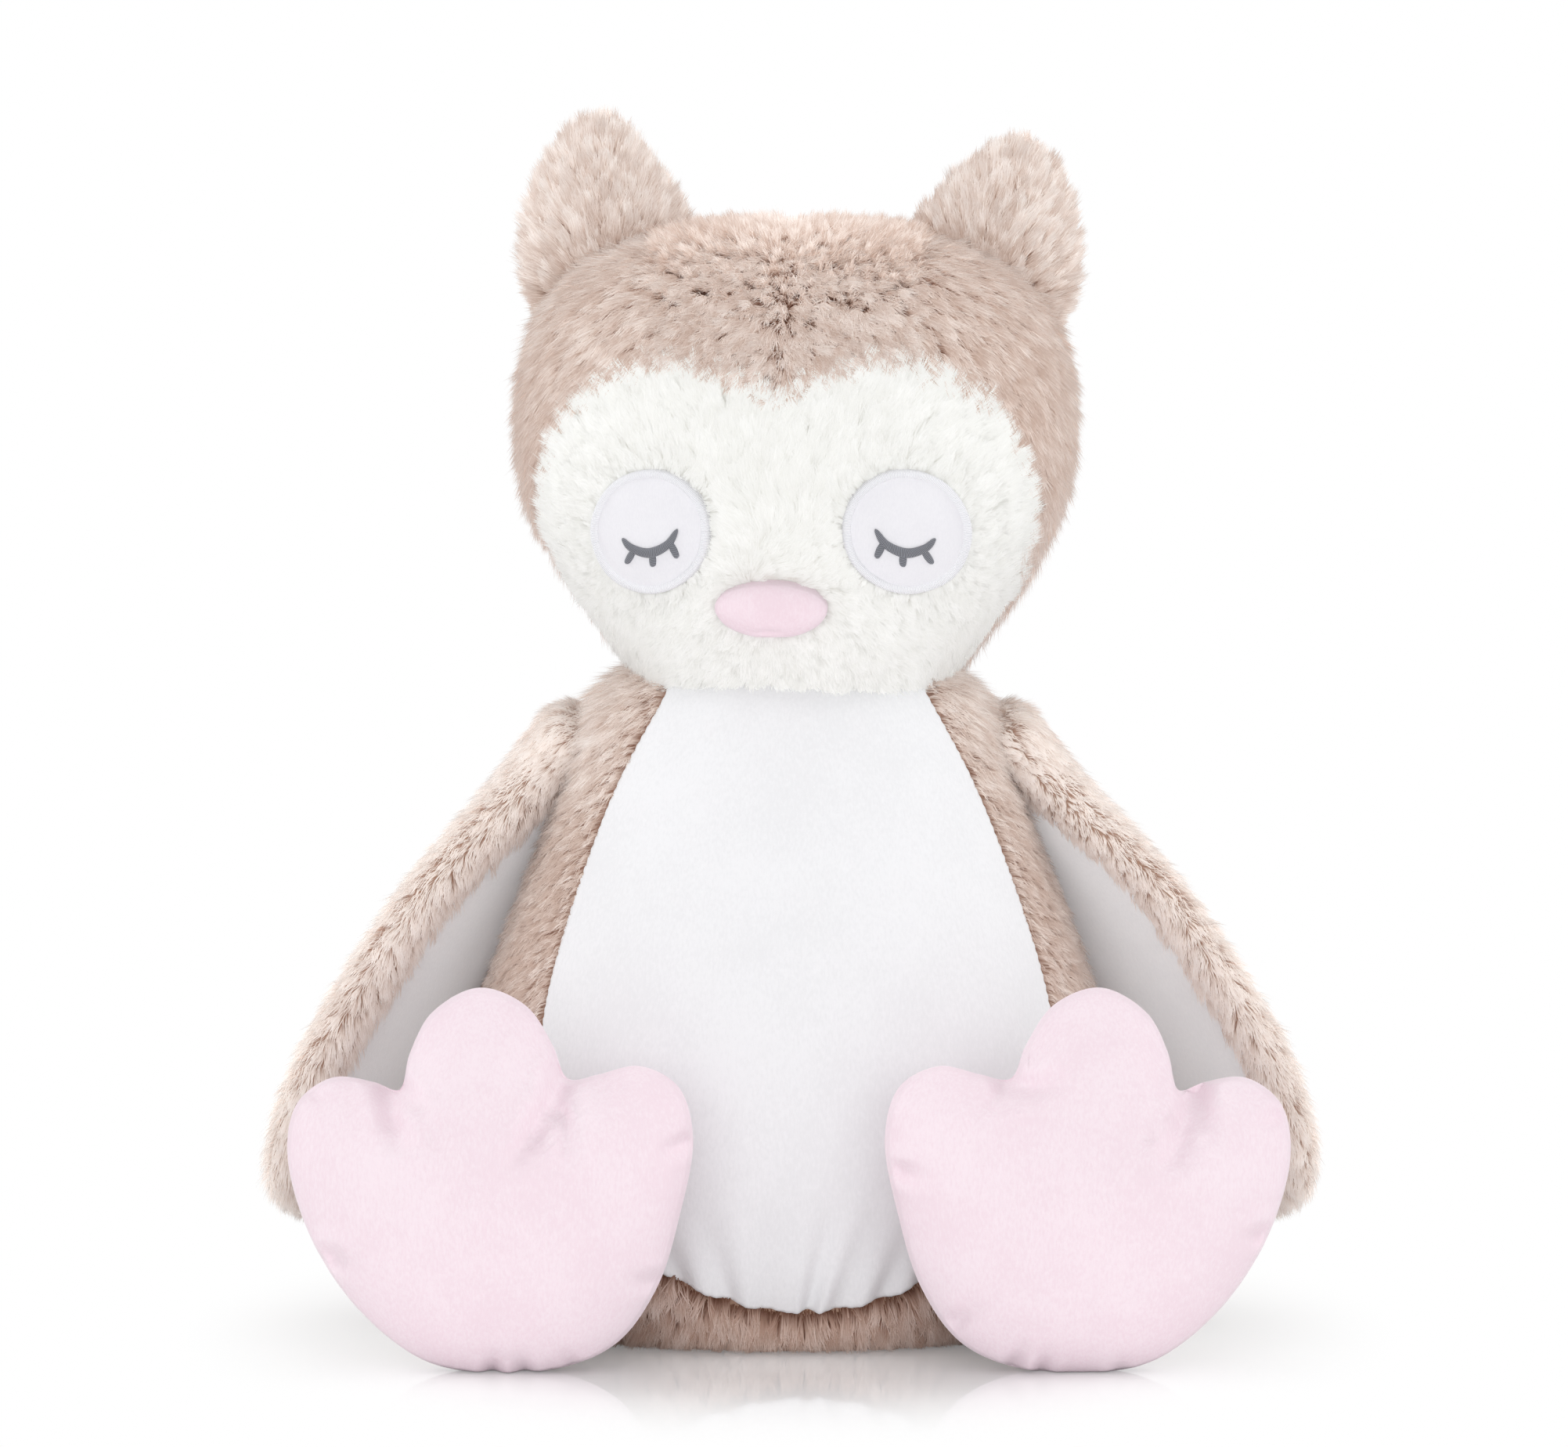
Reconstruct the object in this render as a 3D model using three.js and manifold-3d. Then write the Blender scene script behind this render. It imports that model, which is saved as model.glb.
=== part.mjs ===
// A sitting plush owl: stuffed body and head, ears, closed eyes, beak, two hanging wings and two big feet.
// Millimetres, +Z up, the floor at z = 0, the front at -Y, and +X on the owl's own left.
// Each fabric panel is a thin skin that is cut along its seams, and each stuffed form holds its own filling.
import * as THREE from "three";
import { mergeVertices } from "three/addons/utils/BufferGeometryUtils.js";
import Module from "manifold-3d";

const wasm = await Module();
wasm.setup();

// Fabric, seams and clearances
const skinThickness = 2.6; // backing and the dense foot of the pile
const thinSkinThickness = 1.8; // velour on the feet and wings, and the skin of the ears
const seamGap = 0.35; // between two panels that are sewn together
const fitGap = 0.4; // between a skin and what it covers
const runningGap = 0.5; // round the seams that turn
const overrun = 12; // how far a cutting form reaches past what it cuts
const fanReachShare = 2.5; // how far the rays of a seam run, as a share of the way from the hub to the skin
const weldTolerance = 1e-3;

// Body
const bodyHeight = 181;
const bodyHalfWidth = 86.5;
const bodyHalfDepth = 70;
const bodyForward = 3.5;
const bodyRoundness = 2.15;
const bodyTurn = 3; // degrees about the upright axis, towards its left
const bellyHalfWidth = 67;
const bellyDrop = 3; // from the top of the body down to the top of the belly
const bellyBottom = 6;
const seatSeamFront = 12; // height of the seat seam in the middle
const seatSeamSide = 33; // and out at the sides
const seatSeamRun = 52; // how far from the middle the seam levels out

// Head
const neckSink = 21; // how deep the head is set into the body
const headHeight = 133;
const headHalfWidth = 71;
const headHalfDepth = 61;
const headForwardLow = 5.5;
const headForwardHigh = -2;
const headRoundness = 2.35;
const headTurn = -5; // degrees about the upright axis, towards its right
const headShift = 2; // sideways from the middle of the body
const faceHalfWidth = 62.5;
const faceBottom = 12; // heights of the face, nape and crown are counted from the bottom of the head
const faceTop = 97;
const faceFrontDepth = 11; // the face seam never comes back further than this in front of the axis
const crownHalfWidth = 34;
const napeHalfWidth = 19;
const napeHeight = 27;
const crownLevel = 80; // the crown keeps its full width above this height

// Ears
const earHalfWidth = 22.5;
const earHeight = 41;
const earHalfThickness = 7;
const earRise = { left: 115.5, right: 121 }; // from the bottom of the head to the middle of each base
const earReach = 50.5; // distance of that point from the middle
const earForward = 5;
const earYaw = 10; // degrees that the ear faces outwards
const earLean = { left: 10, right: 0 }; // degrees that each ear leans outwards

// Eyes and beak
const eyeSpacing = 66;
const eyeHeight = 54.5; // from the bottom of the head
const eyeRadius = 16;
const borderWidth = 2.4;
const patchThickness = 1.5;
const borderThickness = 2.3;
const threadThickness = 0.9;
const lidStroke = 2.7;
const lashStroke = 2.2;
const eyeAcross = 7.3; // half the span of the closed lid
const eyeDrop = 8.8; // from the middle of the patch to the tip of the longest lash
const beakHalfWidth = 14;
const beakHalfHeight = 6.8;
const beakHalfDepth = 8;
const beakHeight = 35.5; // from the bottom of the head

// Wings
const shoulderReachShare = 0.682; // of the half width of the body
const shoulderDrop = 24; // from the top of the body down to the shoulder seam
const wingRun = 73; // how far out the tip lies from the shoulder
const wingDrop = 125; // and how far down
const wingBack = 12; // how far the middle of the wing lies behind its root
const wingHalfWidth = 36;
const wingHalfThickness = 8;
const wingRoundness = 2.3;
const wingTwist = { left: 25, right: 20 }; // degrees that the front edge turns outwards
const liningMargin = 7.5; // pile fabric that wraps over each edge
const liftCuts = [0, 4, 8, 12]; // degrees of lift at which the root of a wing is cut clear of the body

// Legs and feet
const hipReachShare = 0.786; // of the half width of the body
const hipForwardShare = 0.829; // of the half depth of the body
const hipHeight = 26;
const hipRadius = 17;
const legRadius = 18.5;
const legLength = 39; // from the hip to the seam round the foot
const footOffset = 8.3; // how far the middle of the foot lies outside the hip
const footHalfWidth = 52;
const footHeight = 98.5;
const footHubHeight = 50; // height of the thickest place
const footFrontBulge = 19;
const footBackBulge = 14;
const footRoundness = 2.3;
const standDepth = 0.5; // how much of the sole edge is pressed flat on the floor

// Facets
const aroundSkin = 26;
const aroundCore = 13;
const levelsSkin = 12;
const levelsCore = 8;
const outlineSteps = 28;
const footSteps = 32;
const earSteps = 14;
const pillowRings = 3;
const wingAround = 12;
const wingSteps = 7;
const legAround = 12;
const ballRings = 6;
const rootAround = 12;
const ballAround = 16;
const seatSteps = 12;

// Outlines and profiles, as shares of the sizes above

// Rows of height, half width and half depth, from the seat up
const bodyShares = [
  [0, 0.58, 0.69],
  [0.012, 0.71, 0.8],
  [0.04, 0.82, 0.875],
  [0.1, 0.92, 0.945],
  [0.19, 0.985, 0.985],
  [0.29, 1, 1],
  [0.4, 0.975, 0.985],
  [0.52, 0.905, 0.94],
  [0.65, 0.805, 0.86],
  [0.77, 0.7, 0.77],
  [0.87, 0.605, 0.69],
  [0.94, 0.525, 0.62],
  [0.985, 0.4, 0.48],
  [1, 0, 0],
];
const headShares = [
  [0, 0, 0],
  [0.025, 0.32, 0.37],
  [0.09, 0.52, 0.6],
  [0.17, 0.635, 0.765],
  [0.27, 0.77, 0.885],
  [0.38, 0.89, 0.955],
  [0.5, 0.975, 0.99],
  [0.62, 1, 1],
  [0.73, 0.985, 0.98],
  [0.83, 0.925, 0.905],
  [0.91, 0.815, 0.78],
  [0.965, 0.62, 0.59],
  [0.993, 0.33, 0.32],
  [1, 0, 0],
];
// The belly seam on one side: distance from the middle and height, from the chin down
const bellyShares = [
  [0.44, 1],
  [0.515, 0.948],
  [0.7, 0.812],
  [0.895, 0.604],
  [0.985, 0.461],
  [1, 0.346],
  [0.945, 0.22],
  [0.8, 0.12],
  [0.6, 0.058],
  [0.33, 0.015],
  [0, 0],
];
// The face seam on one side, from the point of the forehead down to the chin
const faceShares = [
  [0, 0.905],
  [0.07, 0.935],
  [0.28, 0.985],
  [0.53, 1],
  [0.79, 0.915],
  [0.94, 0.77],
  [1, 0.58],
  [0.95, 0.38],
  [0.83, 0.22],
  [0.69, 0.08],
  [0.5, 0],
  [0.24, -0.03],
  [0, -0.035],
];
// An ear from the middle of its base: outwards and up
const earShares = [
  [0.83, -0.1],
  [0.9, 0.15],
  [0.87, 0.46],
  [0.66, 0.76],
  [0.4, 0.93],
  [0.08, 1],
  [-0.2, 0.9],
  [-0.53, 0.65],
  [-0.85, 0.39],
  [-1.05, 0.12],
  [-0.95, -0.2],
  [-0.6, -0.42],
  [0, -0.5],
  [0.55, -0.4],
];
const earHubShare = 0.25; // how far up an ear is thickest
// A foot from the middle of its bottom edge: outwards and up, with the two creases between three toes
const footShares = [
  [0.05, 0],
  [0.34, 0.035],
  [0.66, 0.17],
  [0.9, 0.37],
  [1, 0.575],
  [0.95, 0.7],
  [0.78, 0.765],
  [0.58, 0.755],
  [0.455, 0.735],
  [0.4, 0.83],
  [0.29, 0.935],
  [0.06, 1],
  [-0.17, 0.955],
  [-0.31, 0.85],
  [-0.385, 0.765],
  [-0.53, 0.775],
  [-0.74, 0.795],
  [-0.93, 0.74],
  [-1, 0.61],
  [-0.93, 0.4],
  [-0.82, 0.22],
  [-0.63, 0.08],
  [-0.37, 0.015],
];
// A leg from the middle of its ball to the seam round the foot: radius and distance
const legShares = [
  [0.88, 0.12],
  [0.95, 0.45],
  [1, 1],
];
// A wing from the shoulder: outwards, down, back, half width, half thickness and twist
const wingShares = [
  [0, 0, 0, 0.48, 1, 0],
  [0.15, 0.12, 0.35, 0.62, 1, 0.35],
  [0.37, 0.315, 0.8, 0.86, 0.98, 0.85],
  [0.56, 0.5, 1, 0.98, 0.95, 1],
  [0.745, 0.68, 1, 1, 0.92, 1],
  [0.885, 0.83, 0.9, 0.86, 0.85, 1],
  [0.965, 0.94, 0.75, 0.6, 0.7, 1],
  [0.99, 0.985, 0.68, 0.34, 0.42, 1],
  [1, 1, 0.65, 0, 0, 1],
];
const liningLipShare = 0.15; // how far down the edge of a wing the lining starts, as a share of its half thickness
const liningReachShares = [0.06, 0.9]; // along the wing, from the shoulder to the tip
// The closed lid and the ends of its lashes: outwards and down from the middle of the patch
const lidShares = [
  [-1.08, -0.08],
  [-0.72, 0.36],
  [-0.05, 0.6],
  [0.6, 0.44],
  [0.92, 0.17],
];
const lashShares = [
  [[-0.8, 0.3], [-1.06, 0.76]],
  [[-0.16, 0.6], [-0.18, 1]],
  [[0.5, 0.5], [0.8, 0.9]],
];

// Materials
const pile = new THREE.MeshStandardMaterial({ color: 0xcbb3a3, roughness: 0.95, metalness: 0 });
const pileShade = new THREE.MeshStandardMaterial({ color: 0xbfa594, roughness: 0.95, metalness: 0 });
const facePile = new THREE.MeshStandardMaterial({ color: 0xf1f1ee, roughness: 0.95, metalness: 0 });
const whiteVelour = new THREE.MeshStandardMaterial({ color: 0xf1f1f4, roughness: 0.85, metalness: 0 });
const pinkVelour = new THREE.MeshStandardMaterial({ color: 0xf3dce6, roughness: 0.85, metalness: 0 });
const eyeVelour = new THREE.MeshStandardMaterial({ color: 0xefeef4, roughness: 0.85, metalness: 0 });
const satinThread = new THREE.MeshStandardMaterial({ color: 0xf8f8fa, roughness: 0.4, metalness: 0 });
const greyThread = new THREE.MeshStandardMaterial({ color: 0x6a6c72, roughness: 0.4, metalness: 0 });
const fibre = new THREE.MeshStandardMaterial({ color: 0xf6f6f4, roughness: 1, metalness: 0 });

const radians = THREE.MathUtils.degToRad;
const lerp = THREE.MathUtils.lerp;

// Welds a geometry's corners and drops the faces that the weld closes up.
function solidOf(geometry) {
  const bare = new THREE.BufferGeometry().setAttribute("position", geometry.getAttribute("position"));
  if (geometry.index) bare.setIndex(geometry.index);
  const welded = mergeVertices(bare, weldTolerance);
  const triVerts = [];
  for (let i = 0; i < welded.index.count; i += 3) {
    const [a, b, c] = [0, 1, 2].map((k) => welded.index.getX(i + k));
    if (a !== b && b !== c && c !== a) triVerts.push(a, b, c);
  }
  return new wasm.Manifold(
    new wasm.Mesh({
      numProp: 3,
      vertProperties: new Float32Array(welded.attributes.position.array),
      triVerts: new Uint32Array(triVerts),
    }),
  );
}

// The solid of a geometry that a mirrored frame may have turned inside out.
function facingOut(geometry, side) {
  if (side > 0) return solidOf(geometry);
  const index = geometry.index.array;
  for (let i = 0; i < index.length; i += 3) [index[i], index[i + 1]] = [index[i + 1], index[i]];
  return solidOf(geometry);
}

// The panel itself, without the loose offcuts that crossing seams leave beside it.
function largestPiece(solid) {
  const pieces = solid.decompose();
  return pieces.reduce((best, piece) => (piece.volume() > best.volume() ? piece : best), pieces[0]);
}

function meshOf(name, solid, material) {
  const { numProp, numVert, vertProperties, triVerts } = largestPiece(solid).getMesh();
  const corners = new Float32Array(numVert * 3);
  for (let i = 0; i < numVert; i++) corners.set(vertProperties.subarray(i * numProp, i * numProp + 3), i * 3);
  const geometry = new THREE.BufferGeometry();
  geometry.setAttribute("position", new THREE.BufferAttribute(corners, 3));
  geometry.setIndex(new THREE.BufferAttribute(new Uint32Array(triVerts), 1));
  geometry.computeVertexNormals();
  const mesh = new THREE.Mesh(geometry, material);
  mesh.name = name;
  return mesh;
}

// Joins rings of equal counts, each turning counter-clockwise about the way on, and closes the ends.
// A first ring whose two halves lie on each other closes itself.
function loft(rings, closeStart = true) {
  const count = rings[0].length;
  const middle = (ring) => ring.reduce((sum, p) => sum.add(p), new THREE.Vector3()).divideScalar(count);
  const points = [...rings.flat(), middle(rings[0]), middle(rings.at(-1))];
  const [first, last] = [points.length - 2, points.length - 1];
  const faces = [];
  for (let j = 0; j < count; j++) {
    const next = (j + 1) % count;
    if (closeStart) faces.push(first, next, j);
    for (let k = 0; k + 1 < rings.length; k++) {
      const [low, high] = [k * count, (k + 1) * count];
      faces.push(low + j, low + next, high + next, low + j, high + next, high + j);
    }
    const top = (rings.length - 1) * count;
    faces.push(last, top + j, top + next);
  }
  const geometry = new THREE.BufferGeometry().setFromPoints(points);
  geometry.setIndex(faces);
  return geometry;
}

// A point of an oval whose sides are fuller than an ellipse's where the roundness is over 2.
function ovalPoint(angle, halfWidth, halfDepth, roundness) {
  const bend = (value) => Math.sign(value) * Math.abs(value) ** (2 / roundness);
  return [halfWidth * bend(Math.cos(angle)), halfDepth * bend(Math.sin(angle))];
}

// An upright stuffed form: ovals stacked along a smooth profile, grown or shrunk evenly by `grow`.
function stuffedForm({ bottom, height, halfWidth, halfDepth, shares, forward, roundness }, grow, around, levels) {
  const profile = new THREE.CatmullRomCurve3(
    shares.map(([up, wide, deep]) => new THREE.Vector3(bottom + up * height, wide * halfWidth, deep * halfDepth)),
  );
  const rings = [];
  for (let k = 0; k <= levels; k++) {
    const share = k / levels;
    const place = profile.getPoint(share);
    const way = profile.getTangent(share);
    const [risePerWide, risePerDeep] = [Math.hypot(way.x, way.y), Math.hypot(way.x, way.z)];
    const up = place.x - (grow / 2) * (way.y / risePerWide + way.z / risePerDeep);
    const wide = Math.max(0, place.y + (grow * way.x) / risePerWide);
    const deep = Math.max(0, place.z + (grow * way.x) / risePerDeep);
    const closed = place.y === 0;
    const middleY = -forward((up - bottom) / height);
    rings.push(
      Array.from({ length: around }, (_, j) => {
        const [x, y] = closed ? [0, 0] : ovalPoint((2 * Math.PI * j) / around, wide, deep, roundness);
        return new THREE.Vector3(x, y + middleY, up);
      }),
    );
  }
  return loft(rings);
}

// A closed smooth outline through points, as a list of 2-D points.
function smoothOutline(points, steps) {
  const curve = new THREE.CatmullRomCurve3(points.map(([x, y]) => new THREE.Vector3(x, y, 0)), true);
  return curve.getSpacedPoints(steps).slice(0, steps).map((p) => new THREE.Vector2(p.x, p.y));
}

// Both sides of a symmetric outline, from one side's points that start and end on the middle line.
function bothSides(side) {
  const back = side.slice(1, -1).reverse();
  return [...side, ...back.map(([x, y]) => [-x, y])];
}

// Moves a counter-clockwise or clockwise outline out by a distance.
function grown(outline, by) {
  const turn = Math.sign(THREE.ShapeUtils.area(outline));
  return outline.map((p, i) => {
    const before = outline.at(i - 1);
    const after = outline[(i + 1) % outline.length];
    const along = after.clone().sub(before).normalize();
    return new THREE.Vector2(p.x + turn * along.y * by, p.y - turn * along.x * by);
  });
}

// A front-view outline as a solid that runs from `back` to `front` (values of Y).
function frontPrism(outline, back, front) {
  const geometry = new THREE.ExtrudeGeometry(new THREE.Shape(outline), {
    depth: back - front,
    bevelEnabled: false,
  });
  geometry.rotateX(Math.PI / 2);
  geometry.translate(0, back, 0);
  return solidOf(geometry);
}

// The place on a stuffed form's front that lies at x and z when it is seen from the front.
function frontSpot(form, x, z) {
  const share = THREE.MathUtils.clamp((z - form.bottom) / form.height, 0, 1);
  const above = Math.max(1, form.shares.findIndex(([up]) => up >= share));
  const [low, high] = [form.shares[above - 1], form.shares[above]];
  const part = (share - low[0]) / (high[0] - low[0]);
  const halfWidth = lerp(low[1], high[1], part) * form.halfWidth;
  const halfDepth = lerp(low[2], high[2], part) * form.halfDepth;
  const out = Math.min(1, Math.abs(x) / halfWidth);
  const depth = halfDepth * (1 - out ** form.roundness) ** (1 / form.roundness);
  return new THREE.Vector3(x, -form.forward(share) - depth, z);
}

// A seam drawn in front view as a fan of rays from inside the form, so that it cuts the skin squarely.
function seamFan(form, outline, hub) {
  const seam = outline.map((p) => frontSpot(form, p.x, p.y));
  const ring = (share) => seam.map((p) => p.clone().sub(hub).multiplyScalar(share).add(hub));
  const [near, far] = [ring(1 / fanReachShare), ring(fanReachShare)];
  const turn = THREE.ShapeUtils.area(outline);
  return solidOf(loft(turn > 0 ? [near, far] : [near.reverse(), far.reverse()]));
}

function block(x0, x1, y0, y1, z0, z1) {
  const geometry = new THREE.BoxGeometry(x1 - x0, y1 - y0, z1 - z0);
  geometry.translate((x0 + x1) / 2, (y0 + y1) / 2, (z0 + z1) / 2);
  return solidOf(geometry);
}

// A flat stuffed form from an outline that every ray from its hub meets once: thick at the hub, thin at the seam.
function pillow(outline, hub, frontBulge, backBulge, roundness, grow) {
  const edge = grow ? grown(outline, grow) : outline;
  const rings = [];
  const layers = 2 * pillowRings;
  for (let k = 0; k <= layers; k++) {
    const angle = (Math.PI * (k - pillowRings)) / layers;
    const spread = k % layers ? Math.cos(angle) ** (2 / roundness) : 0;
    const raise = Math.abs(Math.sin(angle)) ** (2 / roundness);
    const bulge = angle < 0 ? backBulge + grow : -(frontBulge + grow);
    rings.push(
      edge.map((p) => new THREE.Vector3(
        hub.x + (p.x - hub.x) * spread,
        bulge * raise,
        hub.y + (p.y - hub.y) * spread,
      )),
    );
  }
  const turn = THREE.ShapeUtils.area(outline);
  return loft(turn > 0 ? rings : rings.map((ring) => ring.slice().reverse()));
}

// Body and head forms. The head has a frame of its own, whose zero height is the bottom of the head.
const bodyForm = {
  bottom: 0,
  height: bodyHeight,
  halfWidth: bodyHalfWidth,
  halfDepth: bodyHalfDepth,
  shares: bodyShares,
  forward: () => bodyForward,
  roundness: bodyRoundness,
};
const headForm = {
  bottom: 0,
  height: headHeight,
  halfWidth: headHalfWidth,
  halfDepth: headHalfDepth,
  shares: headShares,
  forward: (share) => lerp(headForwardLow, headForwardHigh, share),
  roundness: headRoundness,
};
const bodyPose = new THREE.Matrix4().makeRotationZ(radians(bodyTurn));
const headPose = new THREE.Matrix4().makeRotationZ(radians(headTurn));
headPose.setPosition(headShift, 0, bodyHeight - neckSink);
const skinOf = (form, grow = 0) => solidOf(stuffedForm(form, grow, aroundSkin, levelsSkin));
const coreOf = (form, inset) => solidOf(stuffedForm(form, -inset, aroundCore, levelsCore));
const bellyTop = bodyHeight - bellyDrop;
const shoulderHeight = bodyHeight - shoulderDrop;
const shoulderReach = bodyHalfWidth * shoulderReachShare;
const hipReach = bodyHalfWidth * hipReachShare;
const hipForward = bodyHalfDepth * hipForwardShare;
const wide = bodyHalfWidth + overrun;
const deep = bodyHalfDepth + bodyForward + overrun;

// The faceted wall of a socket clears a faceted root at every angle where its corners lie this much further out.
const facetRoom = (around) => 1 / Math.cos(Math.PI / around) ** 2;

// The room of a wing's root is the rounded root itself, turned about its hinge line and a gap larger.
function shoulderRoom(room) {
  const [, , , widthShare, thickShare] = wingShares[0];
  const halfChord = wingHalfWidth * widthShare + runningGap * room;
  const radius = (wingHalfThickness * thickShare + runningGap) * room;
  const count = wingAround / 2;
  const section = Array.from({ length: count + 1 }, (_, i) => {
    const [along, out] = ovalPoint((Math.PI * i) / count, halfChord, radius, wingRoundness);
    return new THREE.Vector2(i % count ? out : 0, along);
  });
  return new THREE.LatheGeometry(section.reverse(), rootAround);
}

function hipRoom(room) {
  return new THREE.SphereGeometry((hipRadius + runningGap) * room, ballAround, ballAround / 2);
}

// Body
function buildBody() {
  const group = new THREE.Group();
  group.applyMatrix4(bodyPose);
  const seen = bodyPose.clone().invert(); // from the owl's frame to the frame of its turned body
  const turnedHead = stuffedForm(headForm, fitGap, aroundSkin, levelsSkin).applyMatrix4(headPose);
  let sockets = solidOf(turnedHead.applyMatrix4(seen));
  for (const side of [-1, 1]) {
    const shoulder = shoulderRoom(facetRoom(rootAround));
    shoulder.translate(side * shoulderReach, 0, shoulderHeight);
    const hip = hipRoom(facetRoom(ballAround)).translate(side * hipReach, -hipForward, hipHeight);
    sockets = sockets.add(solidOf(shoulder.applyMatrix4(seen))).add(solidOf(hip.applyMatrix4(seen)));
  }

  const skin = skinOf(bodyForm).subtract(coreOf(bodyForm, skinThickness)).subtract(sockets);
  const filling = coreOf(bodyForm, skinThickness + fitGap).subtract(sockets);

  const bellySide = bellyShares.map(([out, up]) => [
    out * bellyHalfWidth,
    lerp(bellyBottom, bellyTop, up),
  ]);
  const bellySeam = smoothOutline(bothSides([[0, bellyTop], ...bellySide]), outlineSteps);

  const seatHeight = (x) => lerp(seatSeamFront, seatSeamSide, Math.min(1, Math.abs(x) / seatSeamRun) ** 2);
  const across = Array.from({ length: seatSteps + 1 }, (_, i) => lerp(-wide, wide, i / seatSteps));
  const seatTop = across.map((x) => new THREE.Vector2(x, seatHeight(x)));
  const seatSeam = [new THREE.Vector2(wide, -overrun), ...seatTop.reverse(), new THREE.Vector2(-wide, -overrun)];
  const raised = (by) => seatSeam.map((p) => new THREE.Vector2(p.x, p.y > 0 ? p.y + by : p.y));

  const seatCut = frontPrism(seatSeam, deep, -deep);
  const seatKeepOut = frontPrism(raised(seamGap), deep, -deep);
  const bellyHub = new THREE.Vector3(0, 0, bodyHeight / 2);
  const bellyCut = seamFan(bodyForm, bellySeam, bellyHub).subtract(seatKeepOut);
  const bellyKeepOut = seamFan(bodyForm, grown(bellySeam, seamGap), bellyHub);
  const sides = skin.subtract(seatKeepOut).subtract(bellyKeepOut);
  const top = bodyHeight + overrun;

  group.add(
    meshOf("body_filling", filling, fibre),
    meshOf("belly_panel", skin.intersect(bellyCut), whiteVelour),
    meshOf("body_side_left", sides.intersect(block(seamGap / 2, wide, -deep, deep, 0, top)), pile),
    meshOf("body_side_right", sides.intersect(block(-wide, -seamGap / 2, -deep, deep, 0, top)), pile),
    meshOf("seat_panel", skin.intersect(seatCut), pileShade),
  );
  return group;
}

// Ears, as solids in the head's own frame
function earForms(sideName, thickness) {
  const side = sideName === "left" ? 1 : -1;
  const outline = smoothOutline(earShares.map(([out, up]) => [out * earHalfWidth, up * earHeight]), earSteps);
  const hub = new THREE.Vector2(0, earHeight * earHubShare);
  const lean = new THREE.Matrix4().makeRotationY(radians(earLean[sideName]));
  const yaw = new THREE.Matrix4().makeRotationZ(radians(earYaw));
  const place = yaw.multiply(lean).setPosition(earReach, -earForward, earRise[sideName]);
  const form = (grow) => {
    const geometry = pillow(outline, hub, earHalfThickness, earHalfThickness, 2, grow);
    return solidOf(geometry.applyMatrix4(place));
  };
  const reach = 2 * earHeight;
  const half = (near, far) => {
    const geometry = new THREE.BoxGeometry(2 * reach, far - near, 2 * reach);
    return solidOf(geometry.translate(0, (near + far) / 2, 0).applyMatrix4(place));
  };
  return {
    side,
    skin: form(0).subtract(form(-thickness)),
    filling: form(-thickness - fitGap),
    front: half(-reach, -seamGap / 2),
    back: half(seamGap / 2, reach),
  };
}

// A satin stitched stroke: a round-ended ribbon through points, seen from the front.
function stroke(points, width, back, front) {
  const curve = new THREE.CatmullRomCurve3(points.map(([x, y]) => new THREE.Vector3(x, y, 0)));
  const spots = curve.getSpacedPoints(points.length > 2 ? 6 : 1);
  const half = width / 2;
  const leftEdge = [];
  const rightEdge = [];
  spots.forEach((p, i) => {
    const way = curve.getTangentAt(i / (spots.length - 1));
    leftEdge.push(new THREE.Vector2(p.x - way.y * half, p.y + way.x * half));
    rightEdge.push(new THREE.Vector2(p.x + way.y * half, p.y - way.x * half));
  });
  const cap = (at, way, turn) => [1, 2, 3].map((i) => {
    const angle = Math.atan2(way.y, way.x) + turn * (Math.PI / 2 - (Math.PI * i) / 4);
    return new THREE.Vector2(at.x + half * Math.cos(angle), at.y + half * Math.sin(angle));
  });
  const startWay = curve.getTangentAt(0).negate();
  const endWay = curve.getTangentAt(1);
  const outline = [
    ...leftEdge,
    ...cap(spots.at(-1), endWay, 1),
    ...rightEdge.reverse(),
    ...cap(spots[0], startWay, 1),
  ];
  return frontPrism(outline, back, front);
}

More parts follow.
